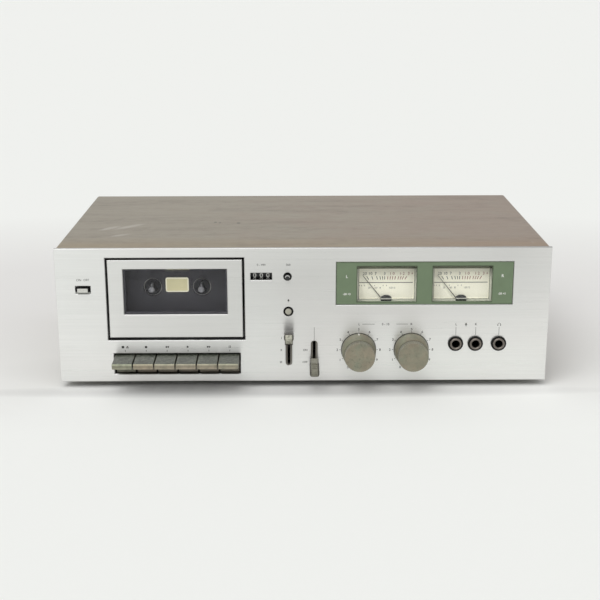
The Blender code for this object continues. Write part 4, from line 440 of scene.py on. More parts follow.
wood_vinyl = start_finish("wood grain vinyl", VINYL_LIGHT, 0.46)
tree = wood_vinyl.node_tree
bands = noise(tree, 1.0, 5.0, (5.5, 60.0, 5.5), 0.62)
streaks = noise(tree, 1.0, 5.0, (26.0, 420.0, 26.0), 0.72, 7.0)
mottle = noise(tree, 1.0, 6.0, (70.0, 130.0, 70.0), 0.78, 3.1)
figure = (bands * 0.40 + streaks * 0.24 + mottle * 0.36).ramp(VINYL_FIGURE)
across, deep, high = piece_places(tree)
patches = noise(tree, 1.0, 8.0, (20.0, 30.0, 20.0), 0.74, 4.4)
pinker = (patches * 2.6 + across * 3.6 - 0.98).held()
vinyl = mix(1.0, figure, mix(pinker, VINYL_GREEN, VINYL_PINK), "MULTIPLY")
near_front = (deep.between(-0.064, -0.092) * (bands * 1.7)).held()
vinyl = vinyl.tint(near_front, VINYL_FRONT)
pores = ((noise(tree, 1.0, 2.0, (70.0, 1300.0, 70.0), 0.5, 2.0) - 0.60) * 9.0).held()
vinyl = mix(pores * 0.40, vinyl, VINYL_PORE)
scuffs = noise(tree, 1.0, 8.0, (45.0, 26.0, 45.0), 0.75, 11.0)
scuffed = ((scuffs - 0.64) * 6.0).held()
for mark in SCRAPES:
    scuffed |= (on_cover(tree, mark) * (scuffs * 3.2)).held()
vinyl = mix(scuffed * 0.62, vinyl, VINYL_SCUFF)
for mark in PITS:
    vinyl = mix((on_cover(tree, mark) * 3.0).held(), vinyl, VINYL_PORE)
paint(wood_vinyl, vinyl)
paint(wood_vinyl, (streaks * 0.22 + 0.36 + scuffed * 0.2).held(), "Roughness")
add_relief(wood_vinyl, streaks - pores, 0.35, 0.00008)
dress(wood_vinyl, "top_cover")

# Screws of the cover and the rear panel: pan heads with a cross recess, nickel plated.
# Two hold each side of the cover, and four hold the rear panel.
SCREW_RADIUS = 0.0034
SCREW_RISE = 0.0017
SCREW_STEPS = 20
RECESS_REACH = 0.0021
RECESS_HALF = 0.00035
RECESS_DEPTH = 0.0012
COVER_SCREW_RISE = 0.030
COVER_SCREW_INSET = 0.030
REAR_SCREW_INSET = 0.012
NICKEL_COLOUR = (0.66, 0.64, 0.60)


def link_piece(name, mesh, finish, body):
    """Puts a made mesh in the scene as a piece that rides on a body and takes the given finish."""
    mesh.materials.clear()
    mesh.materials.append(finish)
    mesh.shade_smooth()
    mesh.set_sharp_from_angle(angle=math.radians(35))
    piece = bpy.data.objects.new(name, mesh)
    bpy.context.scene.collection.objects.link(piece)
    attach(piece, body)
    return piece


def mesh_from(bm):
    """Welds a shape, turns its faces out and returns it as a mesh."""
    bmesh.ops.remove_doubles(bm, verts=bm.verts, dist=0.000001)
    bmesh.ops.recalc_face_normals(bm, faces=bm.faces)
    mesh = bpy.data.meshes.new("shape")
    bm.to_mesh(mesh)
    bm.free()
    return mesh


def skin(bm, loops):
    """Faces from each loop of points to the next. A loop may be a single point."""
    steps = max(len(loop) for loop in loops)
    for low, high in zip(loops, loops[1:]):
        for step in range(steps):
            places = ((low, step), (low, step + 1), (high, step + 1), (high, step))
            corners = list(dict.fromkeys(loop[place % len(loop)] for loop, place in places))
            if len(corners) > 2:
                bm.faces.new(corners)
    return bm


def spun(profile, steps, flutes=0, depth=0.0):
    """A profile spun about z, closed where it ends on the axis: radius, height and share of the flutes' depth."""
    bm = bmesh.new()
    loops = []
    for radius, height, *share in profile:
        loop = []
        for step in range(steps if radius else 1):
            angle = 2 * math.pi * step / steps
            far = radius
            if flutes:
                far -= depth * share[0] * (0.5 - 0.5 * math.cos(flutes * angle)) ** 0.7
            loop.append(bm.verts.new((far * math.cos(angle), far * math.sin(angle), height)))
        loops.append(loop)
    return skin(bm, loops)


def place_copies(mesh, matrices):
    """One mesh made of copies of another, each put in place by its matrix."""
    bm = bmesh.new()
    for matrix in matrices:
        copy = mesh.copy()
        copy.transform(matrix)
        bm.from_mesh(copy)
    return bm


def box_between(bm, low, high):
    """Adds a box between two corners to a shape."""
    low = Vector(low)
    high = Vector(high)
    place = Matrix.Translation((low + high) / 2) @ Matrix.Diagonal((*(high - low), 1))
    bmesh.ops.create_cube(bm, size=1, matrix=place)


def cut_mesh(mesh, cutter):
    """The mesh less the cutter."""
    body = bpy.data.objects.new("body", mesh)
    tool = bpy.data.objects.new("tool", cutter)
    for item in (body, tool):
        bpy.context.scene.collection.objects.link(item)
    modifier = body.modifiers.new("cut", "BOOLEAN")
    modifier.operation = "DIFFERENCE"
    modifier.use_self = True
    modifier.object = tool
    bpy.context.view_layer.update()
    result = bpy.data.meshes.new_from_object(body.evaluated_get(bpy.context.evaluated_depsgraph_get()))
    for item in (body, tool):
        bpy.data.objects.remove(item)
    return result


def screw_head():
    """A pan head on z = 0 with a cross recess, cut by two bars."""
    dome = [(SCREW_RADIUS, 0), (SCREW_RADIUS, SCREW_RISE * 0.35)]
    for step in range(1, 5):
        angle = math.radians(90 * step / 4)
        rise = SCREW_RISE * (0.35 + 0.65 * math.sin(angle))
        dome.append((SCREW_RADIUS * (0.35 + 0.65 * math.cos(angle)), rise))
    head = mesh_from(spun([(0, 0), *dome, (0, SCREW_RISE)], SCREW_STEPS))
    cutter = bmesh.new()
    top = SCREW_RISE * 1.5
    bottom = SCREW_RISE - RECESS_DEPTH
    box_between(cutter, (-RECESS_REACH, -RECESS_HALF, bottom), (RECESS_REACH, RECESS_HALF, top))
    box_between(cutter, (-RECESS_HALF, -RECESS_REACH, bottom), (RECESS_HALF, RECESS_REACH, top))
    return cut_mesh(head, mesh_from(cutter))


nickel = make_finish("nickel plate", NICKEL_COLOUR, 0.3, (1800, 300, 0.25, 0.2, 0.15), metallic=1.0)
head = screw_head()
cover_low, cover_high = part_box("top_cover")
rear_low, rear_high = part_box("rear_panel")
screw_places = []
for side in (-1, 1):
    across = cover_high.x * side
    for along in (cover_low.y + COVER_SCREW_INSET * 1.6, cover_high.y - COVER_SCREW_INSET):
        turn = Matrix.Rotation(math.radians(90 * side), 4, "Y")
        screw_places.append(Matrix.Translation((across, along, PANEL_FOOT + COVER_SCREW_RISE)) @ turn)
    for height in (rear_low.z + REAR_SCREW_INSET / 2, rear_high.z - REAR_SCREW_INSET):
        inset = (rear_high.x - REAR_SCREW_INSET) * side
        turn = Matrix.Rotation(math.radians(-90), 4, "X")
        screw_places.append(Matrix.Translation((inset, rear_high.y, height)) @ turn)
link_piece("case_screws", mesh_from(place_copies(head, screw_places)), nickel, "root")

# Rear panel: black-painted steel sheet, rubbed at its edges, with the line sockets and the cord's bush.
# It is screwed to the tray at its corners.
PAINT_COLOUR = (0.030, 0.030, 0.031)
PAINT_EDGE = (0.30, 0.30, 0.29)

black_paint = make_finish(
    "black paint", PAINT_COLOUR, 0.5, (1300, 35, 0.5, 0.2, 0.5, 0.00008), (PAINT_EDGE, 0.4, 0.6)
)
dress(black_paint, "rear_panel")

# Front frame, well, carrier and the other black mouldings: satin black plastic with a fine spark grain.
# They are injection moulded; the well is a greyer black, the jacks' ring nuts a deeper one.
BLACK_COLOUR = (0.020, 0.020, 0.021)
BLACK_EDGE = (0.075, 0.075, 0.075)
JACK_COLOUR = (0.006, 0.006, 0.005)
JACK_EDGE = (0.03, 0.03, 0.028)
WELL_COLOUR = (0.105, 0.103, 0.112)
WELL_EDGE_SHADE = (0.075, 0.075, 0.078)

black_plastic = make_finish(
    "black moulded plastic", BLACK_COLOUR, 0.45, (2600, 70, 0.35, 0.14, 0.30), (BLACK_EDGE, 0.35, 0.7)
)
dress(black_plastic, "front_frame", "cord_bushing", "line_sockets", "power_switch", "counter_housing")
dress(black_plastic, "meter_left", "meter_right")
jack_black = make_finish(
    "jack ring black", JACK_COLOUR, 0.42, (2600, 90, 0.4, 0.14, 0.25), (JACK_EDGE, 0.35, 0.6), specular=0.22
)
dress(jack_black, "microphone_jack_left", "microphone_jack_right", "headphone_jack")
# Painted shade on the well's edges and creases: their worn colour is darker than its face.
well_plastic = make_finish("well plastic", WELL_COLOUR, 0.45, (2200, 60, 0.4, 0.16, 0.25), (WELL_EDGE_SHADE, 0.4, 0.7))
dress(well_plastic, "cassette_well", "door_carrier")

# Front panel: 3.5 mm aluminium plate, brushed from side to side, bevelled all round and clear anodised.
# The brushing spreads what it mirrors upwards and downwards; the bevels are cut bright, but faces that look upwards
# and the worn edges are painted darker, painted shade that tones down the light they mirror.
PANEL_COLOUR = (0.835, 0.842, 0.825)
PANEL_WARM = (0.815, 0.800, 0.785)
PANEL_EDGE_SHADE = (0.70, 0.70, 0.69)
PANEL_ROUGHNESS = 0.30
PANEL_STRETCH = 0.80
UPWARD_PAINTED_SHADE = (0.37, 0.37, 0.36)
# Painted light and shade: soft patches darken the plate's middle and top right and lighten its lower right.
PANEL_PAINTED_SHADES = (
    ((0.0050, -0.1075, 0.1000), (0.2500, 1.0, 0.1050), (0.76, 0.755, 0.75)),
    ((0.1750, -0.1075, 0.1180), (0.0900, 1.0, 0.0600), (0.86, 0.86, 0.86)),
    ((0.1250, -0.1075, 0.0220), (0.1400, 1.0, 0.0480), (1.06, 1.06, 1.05)),
)

# Brushing: long fine lines along x, in tone, gloss and relief, with a slow drift of tone
brushing, given = start_group("brushing", Warm=(0.8, 0.8, 0.8), Tone=0.06, Gloss=0.10, Lines=1.0)
hair = noise(brushing, given["Lines"], 3.0, (14.0, 2600.0, 2600.0), 0.7)
broad = noise(brushing, given["Lines"], 4.0, (5.0, 420.0, 420.0), 0.6, 5.0)
lines = hair * 0.6 + broad * 0.4
side = (lines - 0.5) * 2.0
drift = ((noise(brushing, 1.0, 2.0, (7.0, 7.0, 9.0), 0.5, 1.7) - 0.38) * 3.2).held()
drifted = mix(drift, given["Colour"], given["Warm"])
gloss = (given["Roughness"] + side * given["Gloss"]).held()
end_group(brushing, shaded(drifted, side * given["Tone"] + 1.0), gloss, lines)


def face_way(tree):
    """The x, y and z of the way that a face looks."""
    return split(tree, add_node(tree, "NewGeometry").outputs["Normal"])


def colour_of(finish):
    """The colour that a material's shader is fed with so far."""
    return Field(finish.node_tree.nodes["Principled BSDF"].inputs["Base Color"].links[0].from_socket)


def brushed(name, colour, warm, roughness):
    """Brushed aluminium, whose mirrored light is spread across the brushing, with painted light and shade in broad
    patches and painted shade on faces that look upwards.
    """
    finish = start_finish(name, colour, roughness, 1.0)
    tree = finish.node_tree
    upward = add_node(tree, "Tangent", {}, direction_type="RADIAL", axis="X")
    paint(finish, PANEL_STRETCH, "Anisotropic")
    paint(finish, upward.outputs["Tangent"], "Tangent")
    add_effect(finish, brushing, {"Warm": warm, "Tone": 0.10, "Gloss": 0.12, "Lines": 1.0}, 0.10, 0.00003)
    metal = colour_of(finish)
    for centre, half, tint in PANEL_PAINTED_SHADES:
        metal = metal.tint(spot_mask(tree, centre, half), tint)
    # Painted shade: faces that look upwards are painted darker, so that the sky they mirror doesn't glare.
    bevel = ((face_way(tree)[2] - 0.12) * 3.0).held()
    paint(finish, mix(bevel, metal, UPWARD_PAINTED_SHADE))
    # Painted shade on the edges: their worn colour is darker than the plate.
    add_wear(finish, PANEL_EDGE_SHADE, 0.36, 0.35)
    return finish


panel_metal = brushed("brushed aluminium", PANEL_COLOUR, PANEL_WARM, PANEL_ROUGHNESS)
dress(panel_metal, "front_panel")

# Cassette door: a plate of the same brushed aluminium with a smoked window, clipped to the carrier.
# The window is a sheet of acrylic in the plate's opening.
DOOR_COLOUR = (0.79, 0.795, 0.775)
DOOR_WARM = (0.775, 0.765, 0.75)
SMOKE_COLOUR = (0.72, 0.72, 0.74)
SHEET_BENDING = 1.25

door_metal = brushed("door aluminium", DOOR_COLOUR, DOOR_WARM, 0.31)
dress(door_metal, "door_plate")


def glazing(name, colour, roughness):
    """Clear or smoked sheet that lets light through to what is behind it."""
    sheet = start_finish(name, colour, roughness)
    paint(sheet, 1.0, "Transmission Weight")
    paint(sheet, SHEET_BENDING, "IOR")
    tree = sheet.node_tree
    solid = tree.nodes["Principled BSDF"]
    shadow = add_node(tree, "LightPath").outputs["Is Shadow Ray"]
    passing = add_node(tree, "BsdfTransparent", {"Color": colour})
    choose = add_node(tree, "MixShader", {0: shadow, 1: solid.outputs[0], 2: passing.outputs[0]})
    feed(choose.outputs[0], tree.nodes["Material Output"].inputs["Surface"])
    add_grain(sheet, 900, 60, 0.05, 0.06, 0.02, 0.00002)
    return sheet


smoked_sheet = glazing("smoked acrylic", SMOKE_COLOUR, 0.06)
dress(smoked_sheet, "door_window")

# Reflector between the spindles, a cream moulding with a painted glow, as though a lamp behind it lit it, and a
# cream strip over it.
# The reflector's rim is paler, and both sit at the well's face.
REFLECTOR_COLOUR = (0.70, 0.655, 0.385)
REFLECTOR_RIM = (0.93, 0.90, 0.68)
REFLECTOR_EDGE = (0.95, 0.93, 0.76)
REFLECTOR_PAINTED_GLOW = 0.60
REFLECTOR_RIM_WIDTH = 0.0013
STRIP_WIDTH = 0.0210
STRIP_HEIGHT = 0.0016
STRIP_THICK = 0.0004
STRIP_RISE = 0.0128
STRIP_COLOUR = (0.30, 0.30, 0.23)

reflector_cream = start_finish("reflector cream", REFLECTOR_COLOUR, 0.42)
reflector_low, reflector_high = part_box("light_reflector")
reflector_middle = (reflector_low + reflector_high) / 2
places = piece_places(reflector_cream.node_tree)
rim = 0.0
for axis in (0, 2):
    inset = (reflector_high[axis] - reflector_low[axis]) / 2 - REFLECTOR_RIM_WIDTH
    from_middle = abs(places[axis] - reflector_middle[axis])
    rim = ((from_middle - inset) * 2500.0).held() | rim
glowing_cream = mix(rim, REFLECTOR_COLOUR, REFLECTOR_RIM)
paint(reflector_cream, glowing_cream)
# Painted light: the reflector glows in its own colour, though nothing in the scene lights it from behind.
paint(reflector_cream, glowing_cream, "Emission Color")
paint(reflector_cream, REFLECTOR_PAINTED_GLOW, "Emission Strength")
add_grain(reflector_cream, 1500, 140, 0.12, 0.1, 0.2)
add_wear(reflector_cream, REFLECTOR_EDGE, 0.4, 0.9)
dress(reflector_cream, "light_reflector")


def block(low, high, bevel=0.0, segments=1):
    """A box between two corners as a mesh, with its edges bevelled where a width is given."""
    bm = bmesh.new()
    box_between(bm, low, high)
    if bevel:
        bmesh.ops.bevel(bm, geom=bm.edges, offset=bevel, segments=segments, affect="EDGES")
    return mesh_from(bm)


strip_plastic = make_finish("strip plastic", STRIP_COLOUR, 0.45, (1500, 140, 0.2, 0.1, 0.2))
strip_left = reflector_middle.x - STRIP_WIDTH / 2
strip_foot = reflector_middle.z + STRIP_RISE - STRIP_HEIGHT / 2
strip = block(
    (strip_left, reflector_high.y - STRIP_THICK, strip_foot),
    (strip_left + STRIP_WIDTH, reflector_high.y, strip_foot + STRIP_HEIGHT), STRIP_THICK / 3, 2,
)
link_piece("well_strip", strip, strip_plastic, "root")

# Reel spindles: dark moulded tables and hubs with three fins, worn pale by cassettes at the tips, and with a pale
# painted highlight on top of each hub.
# Each is pressed on its own shaft.
SPINDLE_TIP_Y = -0.0966
SPINDLE_DARK = (0.040, 0.040, 0.042)
SPINDLE_PALE = (0.48, 0.48, 0.48)
SPINDLE_EDGE = (0.10, 0.10, 0.10)
SPINDLE_PAINTED_HIGHLIGHTS = ((-0.1290, -0.0925, 0.0892), (-0.0865, -0.0925, 0.0892))
SPINDLE_HIGHLIGHT_HALF = (0.0034, 0.0060, 0.0026)

spindle_plastic = start_finish("spindle plastic", SPINDLE_DARK, 0.36)
tree = spindle_plastic.node_tree
worn = piece_places(tree)[1] < SPINDLE_TIP_Y
# Painted highlight: a pale soft spot on top of each hub, added to the worn tips.
for centre in SPINDLE_PAINTED_HIGHLIGHTS:
    worn |= (spot_mask(tree, centre, SPINDLE_HIGHLIGHT_HALF) * 2.6).held()
paint(spindle_plastic, mix(worn, SPINDLE_DARK, SPINDLE_PALE))
add_grain(spindle_plastic, 2400, 200, 0.2, 0.12, 0.2)
add_wear(spindle_plastic, SPINDLE_EDGE, 0.3, 0.7)
dress(spindle_plastic, "supply_spindle", "takeup_spindle")

# Keys: moulded in dark green-grey with a fine speckle; fingers have rubbed their front lips pale. Up the lip the
# colour is banded: its pale top band is a painted highlight on the ridge, and its lowest stop is painted light on
# the strip under the lip, which stands in shade.
# All six turn on one steel shaft behind the panel.
KEY_COLOUR = (0.034, 0.040, 0.029)
KEY_SPECK = (0.135, 0.143, 0.115)
KEY_EDGE = (0.33, 0.31, 0.25)
KEY_LIP_FOOT = 0.0238
KEY_LIP_HEAD = 0.0288
# Colours up the front of a key's lip: rubbed pale, with a painted highlight at the top and painted light at the
# foot.
KEY_LIP_WEAR_AND_LIGHT = (
    (0.00, (0.250, 0.225, 0.185)),
    (0.05, (0.330, 0.300, 0.235)),
    (0.34, (0.330, 0.300, 0.230)),
    (0.46, (0.215, 0.190, 0.145)),
    (0.56, (0.285, 0.258, 0.200)),
    (0.74, (0.290, 0.265, 0.205)),
    (0.82, (0.540, 0.525, 0.400)),
    (1.00, (0.500, 0.490, 0.375)),
)
KEYS = (
    ("stop_key", (0.92, 1.0, 0.92), 1.0),
    ("record_key", (1.05, 0.98, 0.90), 2.3),
    ("rewind_key", (1.0, 0.97, 0.92), 3.7),
    ("play_key", (1.05, 1.0, 0.95), 5.2),
    ("forward_key", (1.0, 0.96, 0.90), 6.1),
    ("pause_key", (0.98, 0.98, 0.92), 7.9),
)

# Speckle: small flecks of a second colour, in tone and a slight relief
speckle, given = start_group("speckle", Fleck=(0.5, 0.5, 0.5), Size=900.0, Cover=0.5, Share=0.6)
flecks = noise(speckle, given["Size"], 5.0, rough=0.75, shift=9.0)
mask = ((flecks - given["Cover"]) * 7.0).held()
gloss = (given["Roughness"] + mask * 0.08).held()
end_group(speckle, mix(mask * given["Share"], given["Colour"], given["Fleck"]), gloss, flecks)


def add_speckle(finish, fleck, size, cover, share, strength, depth=0.00008):
    """Speckle in a material: its colour, flecks per metre, the height where they start, and their share."""
    add_effect(finish, speckle, {"Fleck": fleck, "Size": size, "Cover": cover, "Share": share}, strength, depth)


def front_share(tree):
    """How far a face looks to the front, from 0 to 1."""
    return ((-0.45 - face_way(tree)[1]) * 3.0).held()


def key_finish(name, lip_tint, shift):
    """The moulding of one key, whose lip is rubbed in its own places."""
    finish = start_finish(name, KEY_COLOUR, 0.40)
    add_speckle(finish, KEY_SPECK, 430, 0.45, 0.9, 0.25, 0.00006)
    tree = finish.node_tree
    lip_wear_and_light = piece_places(tree)[2].between(KEY_LIP_FOOT, KEY_LIP_HEAD).ramp(KEY_LIP_WEAR_AND_LIGHT)
    rub = ((noise(tree, 230.0, 5.0, shift=shift) - 0.5) * 1.6 + 0.85).held()
    lip = (front_share(tree) * rub).held()
    paint(finish, mix(lip, colour_of(finish), mix(1.0, lip_wear_and_light, lip_tint, "MULTIPLY")))
    add_wear(finish, KEY_EDGE, 0.35, 0.7)
    return finish


for name, lip_tint, shift in KEYS:
    dress(key_finish(f"{name} plastic", lip_tint, shift), name)

# Power button: a black moulding with a pale grey cap set in its front, like the microphone button's.
# The power button slides over a grey strip at the foot of its opening, painted shade that stands for the button's
# shaded lower bevel.
CAPS = (("power_button", (0.60, 0.60, 0.56)), ("microphone_button", (0.40, 0.39, 0.32)))
BUTTON_COLOUR = (0.018, 0.018, 0.018)
BUTTON_EDGE = (0.30, 0.30, 0.28)
SILL_PAINTED_SHADE = (0.30, 0.31, 0.29)
SILL_LOW = (-0.1928, PANEL_FRONT + 0.0003, 0.08455)
SILL_HIGH = (-0.1808, PANEL_FRONT + 0.0012, 0.08600)

for name, cap_colour in CAPS:
    button_plastic = start_finish(f"{name} plastic", BUTTON_COLOUR, 0.42)
    paint(button_plastic, mix(front_share(button_plastic.node_tree), BUTTON_COLOUR, cap_colour))
    add_grain(button_plastic, 900, 300, 0.42, 0.12, 0.25)
    add_wear(button_plastic, BUTTON_EDGE, 0.35, 0.5)
    dress(button_plastic, name)
# Painted shade: a grey strip under the power button.
sill_grey = make_finish("sill grey", SILL_PAINTED_SHADE, 0.4, (2000, 300, 0.22, 0.12, 0.25))
link_piece("power_sill", block(SILL_LOW, SILL_HIGH, 0.0001), sill_grey, "root")

# Tape counter: three black wheels with pale numbers round them, and a black reset button.
# The numbers are printed on the moulded wheels; the button's upper rim has a pale painted highlight.
WHEELS = ("counter_hundreds", "counter_tens", "counter_units")
DIGIT_HEIGHT = 0.0040
DIGIT_RISE = 0.00004
CAPITAL_SHARE = 0.70
RESET_CENTRE = (-0.0133, -0.1100, 0.0992)
RESET_RADIUS = 0.0024
RESET_RIM = 0.36
RESET_FRONT = -0.1112
RESET_COLOUR = (0.012, 0.012, 0.012)
RESET_PAINTED_HIGHLIGHT = (0.50, 0.50, 0.48)


def text_mesh(text, height, align="CENTER", weight=0.0):
    """Flat lettering in the plane of x and y, of a capital height, about the origin."""
    curve = bpy.data.curves.new("lettering", "FONT")
    curve.body = text
    curve.size = height / CAPITAL_SHARE
    curve.align_x = align
    curve.resolution_u = 4
    curve.offset = weight
    item = bpy.data.objects.new("lettering", curve)
    bpy.context.scene.collection.objects.link(item)
    bpy.context.view_layer.update()
    mesh = bpy.data.meshes.new_from_object(item.evaluated_get(bpy.context.evaluated_depsgraph_get()))
    bpy.data.objects.remove(item)
    for vert in mesh.vertices:
        vert.co.y -= height / 2
        vert.co.z = 0
    return mesh


def ink(name, colour):
    """Screen-printing ink, slightly uneven."""
    return make_finish(name, colour, 0.5, (3000, 400, 0.3, 0.1, 0.1, 0.00002))


pale_ink = ink("pale ink", (0.78, 0.78, 0.74))
dress(black_plastic, *WHEELS)
reset_black = start_finish("reset button black", RESET_COLOUR, 0.3)
tree = reset_black.node_tree
across, deep, high = piece_places(tree)
# Painted highlight: a pale arc on the front of the button's upper rim.
rim = ((RESET_RIM - spot_mask(tree, RESET_CENTRE, (RESET_RADIUS, 1.0, RESET_RADIUS))) * 8.0).held()
rubbed = rim * (high > RESET_CENTRE[2] + 0.0002) * (deep < RESET_FRONT)
paint(reset_black, mix(rubbed, RESET_COLOUR, RESET_PAINTED_HIGHLIGHT))
add_grain(reset_black, 2400, 200, 0.3, 0.12, 0.2)
add_wear(reset_black, BLACK_EDGE, 0.3, 0.6)
dress(reset_black, "reset_button")
for wheel in WHEELS:
    low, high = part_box(wheel)
    centre = (low + high) / 2
    radius = (high.z - low.z) / 2 + DIGIT_RISE
    bm = bmesh.new()
    for digit in range(10):
        mesh = text_mesh(str(digit), DIGIT_HEIGHT, weight=0.00010)
        for vert in mesh.vertices:
            angle = vert.co.y / radius + 2 * math.pi * digit / 10
            place = Vector((vert.co.x, -radius * math.cos(angle), radius * math.sin(angle)))
            vert.co = place + centre
        bm.from_mesh(mesh)
    mesh = bpy.data.meshes.new("digits")
    bm.to_mesh(mesh)
    bm.free()
    link_piece(f"{wheel}_numbers", mesh, pale_ink, wheel)

# Lever switches: ribbed grips on steel blades, each in a slot with a grey moulded liner.
# A grip is moulded on its blade, with a thumb ridge at its back; it is pale on top, with painted shade beside it,
# behind it and beyond its ends.
SLOT_HALF = 0.00247
LINER_HALF = 0.00125
LINER_SET_BACK = 0.0009
LINER_THICK = 0.0008
LEVER_SLOTS = (("tape_slot_liner", -0.0124, 0.0337, 0.0274), ("noise_slot_liner", 0.0094, 0.02815, 0.0273))
LINER_COLOUR = (0.185, 0.172, 0.150)
LEVER_PAINTED_SHADE = (0.040, 0.036, 0.026)
LEVER_FLECK = (0.09, 0.085, 0.06)
LEVER_EDGE = (0.42, 0.41, 0.35)
LEVER_BACK = 0.0363
LEVERS = (
    ("tape_lever", (-0.0124, -0.0755, 0.0337), 18.8, (0.44, 0.435, 0.355), -1, -0.0050, 0.0021),
    ("noise_lever", (0.0094, -0.0755, 0.02815), -9.65, (0.180, 0.174, 0.134), 1, -0.0026, 0.0100),
)
RIDGE_HALF = 0.0034
RIDGE = (
    (0.0364, 0.0024), (0.0366, 0.0056), (0.0371, 0.0060), (0.0378, 0.0060), (0.0412, 0.0030), (0.0412, 0.0024),
)


def grip_finish(name, pivot, tilt, colour, low, high):
    """A grip's moulding: pale and ribbed in the middle, with painted shade along its sides, where it meets the
    blade and beyond its ends.
    """
    finish = start_finish(name, colour, 0.45)
    add_speckle(finish, LEVER_FLECK, 520, 0.50, 0.85, 0.3)
    tree = finish.node_tree
    place = add_node(tree, "TexCoord").outputs["Object"]
    lean = {"Vector": place, "Location": pivot, "Rotation": (math.radians(-tilt), 0, 0)}
    across, along, rise = split(tree, add_node(tree, "Mapping", lean, vector_type="TEXTURE").outputs[0])
    beside = ((abs(across) - 0.0026) * 2000.0).held()
    # Painted shade along the grip's sides, towards the blade and past the given heights.
    dark = beside | (along > -LEVER_BACK) | (rise < low) | (rise > high)
    paint(finish, mix(dark, colour_of(finish), LEVER_PAINTED_SHADE))
    add_wear(finish, LEVER_EDGE, 0.35, 0.5)
    return finish


def closed_between(bm, ends):
    """A closed shape between two outlines."""
    for end in ends:
        bm.faces.new(end)
    return mesh_from(skin(bm, ends))


def grip_ridge(pivot, tilt, way):
    """The thumb ridge at the back end of a grip, on its upper or lower face."""
    bm = bmesh.new()
    lean = math.radians(tilt)
    sides = []
    for across in (-RIDGE_HALF, RIDGE_HALF):
        side = []
        for along, rise in RIDGE:
            deep = pivot[1] - along * math.cos(lean) + way * rise * math.sin(lean)
            high = pivot[2] + along * math.sin(lean) + way * rise * math.cos(lean)
            side.append(bm.verts.new((pivot[0] + across, deep, high)))
        sides.append(side)
    return closed_between(bm, sides)


for name, pivot, tilt, colour, way, low, high in LEVERS:
    finish = grip_finish(f"{name} plastic", pivot, tilt, colour, low, high)
    dress(finish, name)
    link_piece(f"{name}_ridge", grip_ridge(pivot, tilt, way), finish, name)


def slot_outline(x, z, half_width, half_length, steps=10):
    """The points of an upright slot with round ends."""
    points = []
    for end, start in ((1, 0), (-1, 180)):
        middle = z + end * (half_length - half_width)
        for step in range(steps + 1):
            angle = math.radians(start + 180 * step / steps)
            points.append((x + half_width * math.cos(angle), middle + half_width * math.sin(angle)))
    return points


def ring_between(inner, outer, inner_front, outer_front, back):
    """A closed ring between two outlines in the plane of the panel, its front sloping from one to the other."""
    bm = bmesh.new()
    loops = []
    for outline, depth in ((inner, back), (inner, inner_front), (outer, outer_front), (outer, back)):
        loops.append([bm.verts.new((x, depth, z)) for x, z in outline])
    return mesh_from(skin(bm, loops + loops[:1]))


liner_grey = make_finish("liner grey", LINER_COLOUR, 0.40, (2200, 160, 0.3, 0.12, 0.2))
for name, x, z, length in LEVER_SLOTS:
    inner = slot_outline(x, z, LINER_HALF, length / 2 - 0.0005)
    outer = slot_outline(x, z, SLOT_HALF, length / 2 - 0.00003)
    set_back = PANEL_FRONT + LINER_SET_BACK
    liner = ring_between(inner, outer, set_back, PANEL_FRONT + 0.00015, set_back + LINER_THICK)
    link_piece(name, liner, liner_grey, "root")

# Meters: a green anodised plate, one clear lens, and behind it two cream dial cards with printed scales.
# Each dial has cream rails round it, with painted shadow lines along their inner edges, a dark olive bar above it
# that is painted shadow from the plate's edge, a needle and a black cover over its hub; a painted shadow line runs
# round each window on the plate.
GREEN_COLOUR = (0.150, 0.205, 0.122)
CARD_THICK = 0.0003
CARD_GAP = 0.0001
DIAL_DEPTH = 0.0042
METERS = (("left", 0.07105), ("right", 0.13525))
WINDOW_HALF = 0.0262
CARD_HEAD = 0.1033
RAIL_THICK = 0.0010
RAIL_LEFT = 0.0232
RAIL_RIGHT = 0.0241
RAIL_FOOT = 0.0767
SCALE_Z = 0.0909
SCALE_HALF = 0.0229
NUMERAL_Z = 0.0989
TICK_FOOT = 0.0936
TICK_HEAD = 0.0964
TICKS = (
    (-0.0149, -0.0166), (-0.0113, -0.0123), (-0.0074, -0.0082), (-0.0048, -0.0054), (-0.0029, -0.0032),
    (-0.0013, -0.0012), (0.0013, 0.0014), (0.0033, 0.0037), (0.0054, 0.0057), (0.0074, 0.0080),
    (0.0101, 0.0107), (0.0119, 0.0129), (0.0138, 0.0149), (0.0160, 0.0176),
)
NUMERALS = (("20", -0.0183), ("10", -0.0136), ("7", -0.0091), ("3", -0.0013))
RED_NUMERALS = (("1", 0.0038), ("0", 0.0063), ("1", 0.0124), ("2", 0.0149), ("3", 0.0192), ("+", 0.0222))
LOWER_TICKS = (-0.0229, -0.0210, -0.0185, -0.0099, -0.0025, 0.0005)
LOWER_NUMERALS = (("20", -0.0144), ("60", -0.0085), ("8", -0.0050), ("100 %", 0.0052))
HUB_HALF = 0.0046
HUB_SHOULDER = 0.0784
HUB_HEAD = 0.0809
HUB_BAR = 0.0779
HUB_FOOT = 0.0700
GREEN_EDGE = (0.30, 0.34, 0.26)
RAIL_COLOUR = (0.80, 0.80, 0.68)
RAIL_EDGE = (0.30, 0.29, 0.22)
CARD_COLOUR = (0.95, 0.92, 0.78)
SHADOW_BAR_COLOUR = (0.170, 0.180, 0.110)
NEEDLE_COLOUR = (0.02, 0.02, 0.02)
FACE_FRONT = Matrix.Rotation(math.radians(90), 4, "X")

